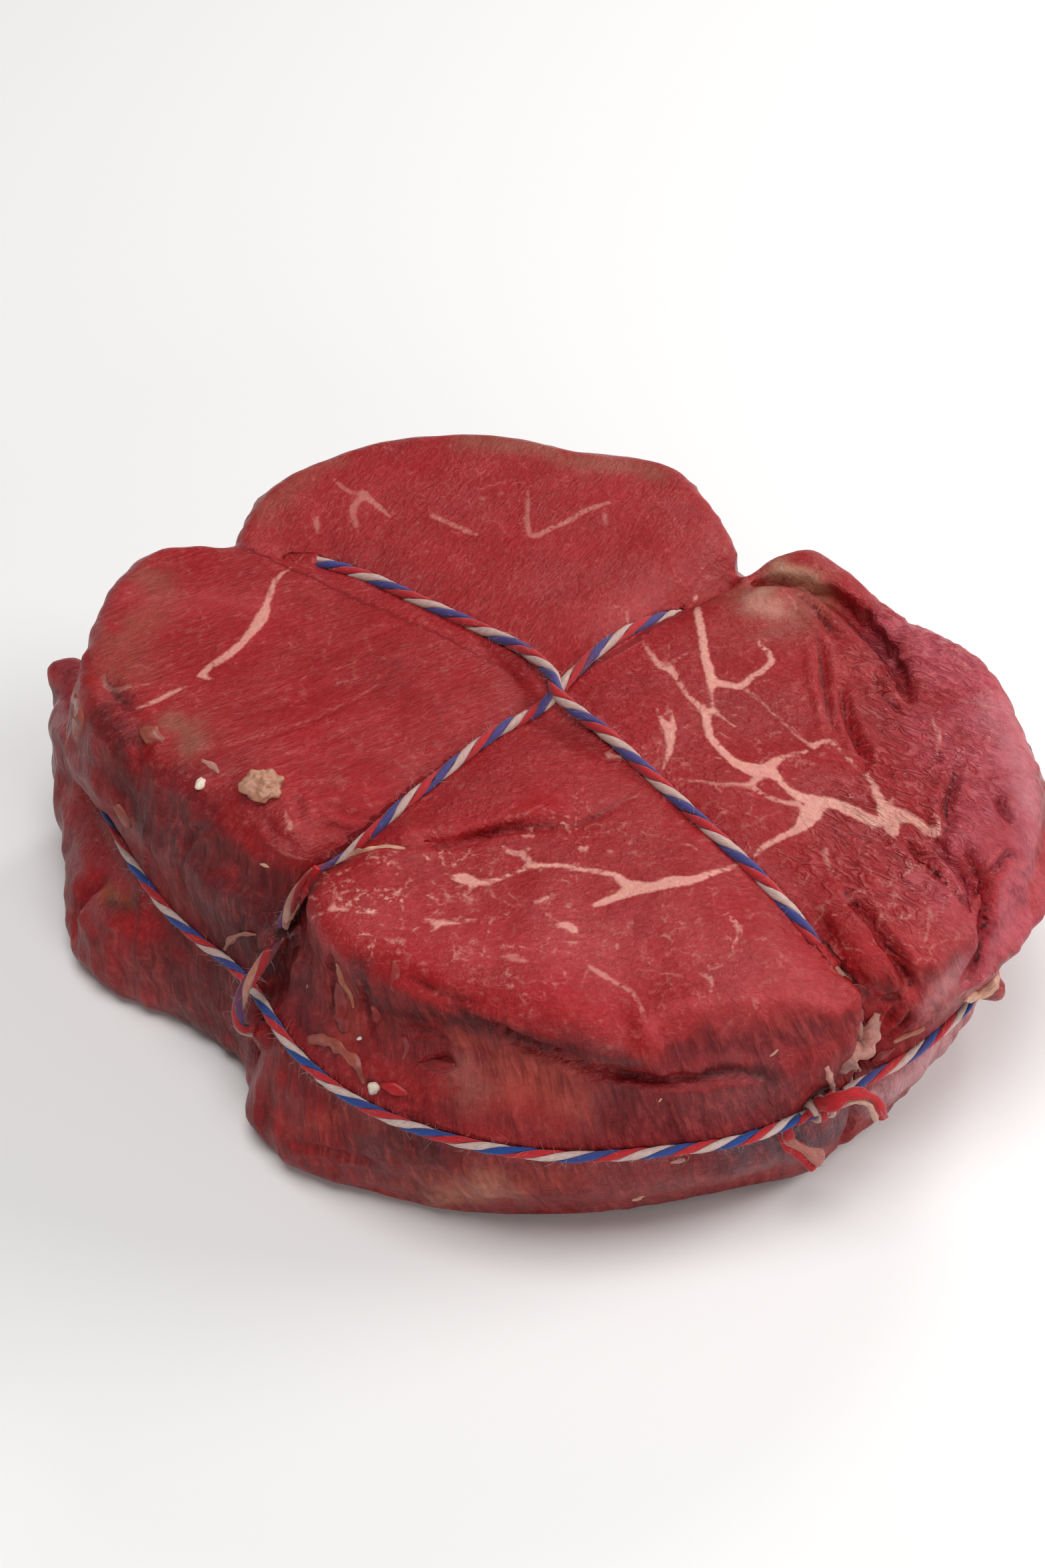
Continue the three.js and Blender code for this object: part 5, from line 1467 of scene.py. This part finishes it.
class TOURNEDOS_OT_meat(bpy.types.Operator):
    """Adds the medallion of beef with its relief, marbling and moist surface"""

    bl_idname = "tournedos.meat"
    bl_label = "Meat"

    def execute(self, context):
        settings = context.scene.tournedos
        piece = meat_copy(settings.voxel)
        tree = BVHTree.FromObject(piece, context.evaluated_depsgraph_get())
        soften(piece, tree)
        relief(piece, tree, settings)
        lighten_underside(piece)
        context.view_layer.update()
        tree = BVHTree.FromObject(piece, context.evaluated_depsgraph_get())
        paint(piece, tree)
        piece.data.shade_smooth()
        piece.data.materials.append(raw_beef())
        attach(piece, "root")
        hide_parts("meat")
        return {"FINISHED"}


class TOURNEDOS_OT_crumbs(bpy.types.Operator):
    """Adds the crumbs of fat that lie on the meat"""

    bl_idname = "tournedos.crumbs"
    bl_label = "Fat crumbs"

    def execute(self, context):
        meat = bpy.data.objects["beef_medallion"]
        tree = BVHTree.FromObject(meat, context.evaluated_depsgraph_get())
        materials = {name: chilled_fat("chilled_fat_" + name, COLOURS[name])
                     for name in ("cream", "ivory")}
        for number, (name, (pixel, size, turn, colour)) in enumerate(CRUMBS.items()):
            select_only(None)
            place = Vector(seen(tree, [pixel])[0][0])
            bpy.ops.mesh.primitive_ico_sphere_add(subdivisions=5, radius=0.5 * MM)
            piece = context.object
            piece.name = piece.data.name = name
            points, normals = corners_and_normals(piece.data)
            points *= size
            bumps = noise_at(points, 1.1 * MM, 30 + number)
            grains = noise_at(points, 0.45 * MM, 40 + number)
            points += normals * (0.32 * bumps + 0.13 * grains)[:, None] * min(size) * 0.6 * MM
            cos, sin = math.cos(math.radians(turn)), math.sin(math.radians(turn))
            x, y = points[:, 0].copy(), points[:, 1].copy()
            points[:, 0] = x * cos - y * sin
            points[:, 1] = x * sin + y * cos
            points += np.array(place)
            piece.data.vertices.foreach_set("co", points.ravel())
            piece.data.update()
            piece.data.shade_smooth()
            piece.data.materials.append(materials[colour])
            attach(piece, "root")
        return {"FINISHED"}


# Where the long strands are soaked: place, reach in mm and strength.
SOAKED = {
    "twine_cross_a": [((25, -31, 25), 5, 0.95), ((-26, 20, 28), 4, 0.7), ((27, -32, 18), 8, 1.0),
                      ((-29, 21, 26), 6, 0.7), ((0, 0, 1), 40, 0.6), ((0.2, -0.6, 32), 1.8, 0.35)],
    "twine_cross_b": [((-23, -21, 25), 4.5, 1.0), ((-27, -24, 19), 7, 1.0),
                      ((-29, -26, 13), 4, 0.5), ((2.6, 3.4, 30), 2.2, 0.8),
                      ((17, 18, 24), 7, 0.7), ((0, 0, 1), 40, 0.6)],
    "twine_ring": [((31, -32, 14), 5, 0.3)],
}

# The order of the plies along each strand.
ORDER = {
    "twine_cross_a": ("blue", "red", "white"),
    "twine_cross_b": ("blue", "red", "white"),
    "twine_ring": ("blue", "white", "red"),
}

# The pixels where the blue ply faces the camera, one turn apart.
BLUE_FACES = {
    "twine_cross_a": [(495, 837), (582, 877), (670, 922), (762, 967), (825, 1025), (878, 1076),
                      (948, 1138), (1030, 1211), (1116, 1281)],
    "twine_cross_b": [(975, 929), (887, 980), (810, 1057), (747, 1095), (658, 1160), (571, 1231)],
    "twine_ring": [(169, 1234), (214, 1318), (280, 1394), (345, 1451), (407, 1515), (460, 1592),
                   (543, 1653), (643, 1697), (758, 1721), (886, 1735), (1005, 1730),
                   (1107, 1711), (1195, 1680)],
}


class TOURNEDOS_OT_twine(bpy.types.Operator):
    """Adds the three long strands of three-ply twine"""

    bl_idname = "tournedos.twine"
    bl_label = "Twine"

    def execute(self, context):
        settings = context.scene.tournedos
        material = cotton()
        hair = cotton_hair()
        ring = [(x, y, RING_LEVEL) for x, y in RING]
        routes = {"twine_cross_a": (CROSS_A, True), "twine_cross_b": (CROSS_B, True),
                  "twine_ring": (ring, False)}
        for number, (node, (route, closed)) in enumerate(routes.items()):
            line = curve_through(placed(route), TWINE_STEP * MM, closed)
            phase = winding(line, BLUE_FACES[node], settings.lay, closed)
            soaked = soaked_along(line, SOAKED[node])
            parts = three_ply(line, phase, RADII[node], ORDER[node], soaked, 80 + 10 * number)
            piece = mesh_piece(node.replace("twine", "strand"), *joined(parts))
            piece.data.materials.append(material)
            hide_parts(node)
            count = int(run_along(line)[-1] / MM * settings.hairs)
            hairs = mesh_piece(node.replace("twine", "fuzz"), *fuzz(line, count, 50 + number))
            hairs.data.materials.append(hair)
        return {"FINISHED"}


KNOT_AT = (23.7, -37, 14)
KNOT_AXIS = (0.84, 0.54, 0)              # the way the ring runs through the knot
KNOT_LENGTH = 2.6                        # mm from its first wrap to its last
KNOT_REACH = 0.8                         # mm from its middle to the middle of a wrap
KNOT_TURNS = 2.3
WRAP_LAY, THROUGH_LAY = 5, 7.4           # mm, one twist of the wraps and of the ring in them

# The loose ends: route, and for each of their plies its colour, how far it lies to the side
# and to the front in mm at the start and at the end, its half widths there, and its end.
TAILS = {
    "twine_tail_upper": (TAIL_UPPER, (
        ("red", (-0.05, -0.3), (0.3, 0.1), (0.66, 0.56), 1.0),
        ("rose", (0.35, 0.2), (-0.2, -0.2), (0.3, 0.24), 0.8),
        ("cream", (0.7, 0.4), (-0.5, 0.25), (0.04, 0.42), 0.97),
    )),
    "twine_tail_lower": (TAIL_LOWER, (
        ("red", (-0.3, -0.2), (0.15, -0.1), (0.34, 0.42), 0.6),
        ("rose", (0.1, -0.25), (0.0, 0.2), (0.3, 0.66), 1.0),
        ("red", (0.3, 0.75), (-0.3, -0.1), (0.2, 0.52), 0.98),
    )),
}
TAIL_DYES = {"red": "#b0101a", "rose": "#b0685c", "cream": "#cc9c88"}


class TOURNEDOS_OT_knot(bpy.types.Operator):
    """Adds the knot on the ring and its two frayed ends"""

    bl_idname = "tournedos.knot"
    bl_label = "Knot and ends"

    def execute(self, context):
        material = cotton()
        hair = cotton_hair()
        axis = unit(np.array(KNOT_AXIS))
        out = np.cross(axis, [0, 0, 1])
        wraps = []
        for step in range(61):
            share = step / 60
            turn = 2 * math.pi * KNOT_TURNS * share + 0.6
            ring = out * math.cos(turn) + np.array([0, 0, 1]) * math.sin(turn)
            middle = np.array(KNOT_AT) + axis * KNOT_LENGTH * (share - 0.5)
            wraps.append(middle + ring * KNOT_REACH)
        line = curve_through(placed(wraps), 0.15 * MM)
        phase = 1.0 - 2 * np.pi * run_along(line) / (WRAP_LAY * MM)
        parts = three_ply(line, phase, 0.5, ("white", "red", "white"), np.full(len(line), 0.4), 20)
        ends = placed([np.array(KNOT_AT) + axis * s for s in (-KNOT_LENGTH, 0, KNOT_LENGTH)])
        through = curve_through(ends, 0.2 * MM)
        phase = 2.0 - 2 * np.pi * run_along(through) / (THROUGH_LAY * MM)
        parts += three_ply(through, phase, RADII["twine_ring"], ("blue", "white", "red"),
                           np.full(len(through), 0.3), 30)
        piece = mesh_piece("knot_wraps", *joined(parts))
        piece.data.materials.append(material)
        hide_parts("twine_knot")
        for number, (node, (route, plies)) in enumerate(TAILS.items()):
            self.add_tail(node, route, plies, material, hair, 70 + 10 * number)
        return {"FINISHED"}

    @staticmethod
    def add_tail(node, route, plies, material, hair, seed):
        """One loose end: plies that come apart, and hairs at its tip."""
        line = curve_through(placed(route), 0.12 * MM)
        share = np.linspace(0, 1, len(line))[:, None]
        tangents = unit(np.gradient(line, axis=0))
        view = unit(np.array(TOWARDS_CAMERA) - tangents * (tangents @ np.array(TOWARDS_CAMERA))[:, None])
        across = np.cross(tangents, view)
        parts = []
        for ply, (dye, side, front, widths, end) in enumerate(plies):
            last = max(4, round(len(line) * end))
            shift = across * (side[0] + (side[1] - side[0]) * share)
            shift = shift + view * (front[0] + (front[1] - front[0]) * share)
            spine = (line + shift * MM)[:last]
            half = np.interp(share[:last, 0], [0, 0.3, 1], [widths[0], sum(widths) / 2, widths[1]])
            half[-2:] *= [0.8, 0.45]
            colours = np.tile([*linear(TAIL_DYES[dye]), 1.0], (last, 1))
            parts.append(strip_mesh(spine, view[:last], half * MM, 0.3 * MM, colours, seed + ply))
        piece = mesh_piece(node.replace("twine_", ""), *joined(parts))
        piece.data.materials.append(material)
        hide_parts(node)
        for name, stretch, count in (("_fray", line[-16:], 60), ("_fuzz", line, 40)):
            hairs = mesh_piece(piece.name + name, *fuzz(stretch, count, seed, 0.5, 0.3))
            hairs.data.materials.append(hair)


class TOURNEDOS_OT_shreds(bpy.types.Operator):
    """Adds the shreds of tissue and fat that lie on the meat"""

    bl_idname = "tournedos.shreds"
    bl_label = "Loose tissue"

    def execute(self, context):
        meat = bpy.data.objects["beef_medallion"]
        tree = BVHTree.FromObject(meat, context.evaluated_depsgraph_get())
        view = np.array(TOWARDS_CAMERA)
        parts = []
        for number, (tissue, thickness, lift, marks) in enumerate(SHREDS.values()):
            places, normals = seen(tree, [mark[:2] for mark in marks])
            line = curve_through(places, 0.25 * MM)
            along = share_along(line)
            shares = share_along(places)
            facing = np.stack([np.interp(along, shares, normals[:, k]) for k in range(3)], axis=1)
            facing = unit(0.5 * unit(facing) + view)
            rise = 0.7 * lift - 0.05 + 0.1 * beat(run_along(line), 2, 90 + number)
            line = line + view * (rise * MM)[:, None]
            widths = [mark[2] / FOCAL_PIXELS * VIEW_DISTANCE for mark in marks]
            half = np.interp(along, shares, widths)
            colours = np.tile([*linear(TISSUE[tissue]), 1.0], (len(line), 1))
            colours[:, :3] *= (1 + 0.25 * beat(run_along(line), 1.5, 60 + number))[:, None]
            parts.append(strip_mesh(line, facing, half, thickness / 2 * MM, colours, 90 + number))
        piece = mesh_piece("loose_tissue", *joined(parts))
        piece.data.materials.append(connective_tissue())
        return {"FINISHED"}


# The soft lights: place and size in metres, and share of the key light's power.
LIGHTS = {
    "overhead": ((-0.05, -0.06, 0.6), 0.4, 1.0),
    "window": ((0.5, 0.1, 0.3), 0.3, 0.8),
    "rear_window": ((0.22, 0.42, 0.3), 0.12, 0.25),
    "front_fill": ((0.3, -0.6, 0.2), 0.4, 0.62),
}
WORLD_COLOUR = (1, 0.99, 0.98, 1)
WORLD_STRENGTH = 0.16


class TOURNEDOS_OT_stage(bpy.types.Operator):
    """Adds the pale floor, the soft lights and the camera"""

    bl_idname = "tournedos.stage"
    bl_label = "Stage"

    def execute(self, context):
        settings = context.scene.tournedos
        select_only(None)
        bpy.ops.mesh.primitive_plane_add(size=3, location=(0, 0, 0))
        floor = context.object
        floor.name = "floor"
        # Matt, off-white background paper.
        material, _ = new_material("matt_paper")
        finish(material, {}, {"Base Color": (*settings.floor, 1), "Roughness": 0.9})
        floor.data.materials.append(material)
        for name, (place, size, share) in LIGHTS.items():
            data = bpy.data.lights.new(name, "AREA")
            data.shape = "DISK"
            data.size = size
            data.energy = settings.key_light * share
            light = bpy.data.objects.new(name, data)
            light.location = place
            light.rotation_euler = (-Vector(place)).to_track_quat("-Z", "Y").to_euler()
            context.scene.collection.objects.link(light)
        world = bpy.data.worlds.new("soft_white")
        world.use_nodes = True
        background = world.node_tree.nodes["Background"]
        background.inputs["Color"].default_value = WORLD_COLOUR
        background.inputs["Strength"].default_value = WORLD_STRENGTH
        context.scene.world = world
        camera_data = bpy.data.cameras.new("camera")
        camera_data.sensor_width = SENSOR
        camera_data.lens = FOCAL_PIXELS / max(PICTURE) * SENSOR
        camera_data.clip_start = 0.01
        camera = bpy.data.objects.new("camera", camera_data)
        camera.location = CAMERA_AT
        camera.rotation_euler = (math.pi / 2 - ELEVATION, 0, 0)
        context.scene.collection.objects.link(camera)
        context.scene.camera = camera
        context.scene.view_settings.view_transform = "Standard"
        return {"FINISHED"}


class TOURNEDOS_PT_panel(bpy.types.Panel):
    """Lists the pieces and the settings"""

    bl_idname = "TOURNEDOS_PT_panel"
    bl_label = "Tournedos"
    bl_space_type = "VIEW_3D"
    bl_region_type = "UI"
    bl_category = "Tournedos"

    def draw(self, context):
        column = self.layout.column()
        for operator in OPERATORS:
            column.operator(operator.bl_idname)
        for name in TournedosSettings.__annotations__:
            column.prop(context.scene.tournedos, name)


OPERATORS = (TOURNEDOS_OT_stage, TOURNEDOS_OT_meat, TOURNEDOS_OT_crumbs, TOURNEDOS_OT_shreds,
             TOURNEDOS_OT_twine, TOURNEDOS_OT_knot)
CLASSES = (TournedosSettings, *OPERATORS, TOURNEDOS_PT_panel)


def register():
    """Adds the add-on's classes and its settings."""
    for cls in CLASSES:
        bpy.utils.register_class(cls)
    bpy.types.Scene.tournedos = PointerProperty(type=TournedosSettings)


def unregister():
    """Takes the classes and the settings away again."""
    del bpy.types.Scene.tournedos
    for cls in reversed(CLASSES):
        bpy.utils.unregister_class(cls)


def main():
    """Makes every piece in order."""
    register()
    bpy.ops.tournedos.stage()
    bpy.ops.tournedos.meat()
    bpy.ops.tournedos.crumbs()
    bpy.ops.tournedos.shreds()
    bpy.ops.tournedos.twine()
    bpy.ops.tournedos.knot()


if __name__ == "__main__":
    main()
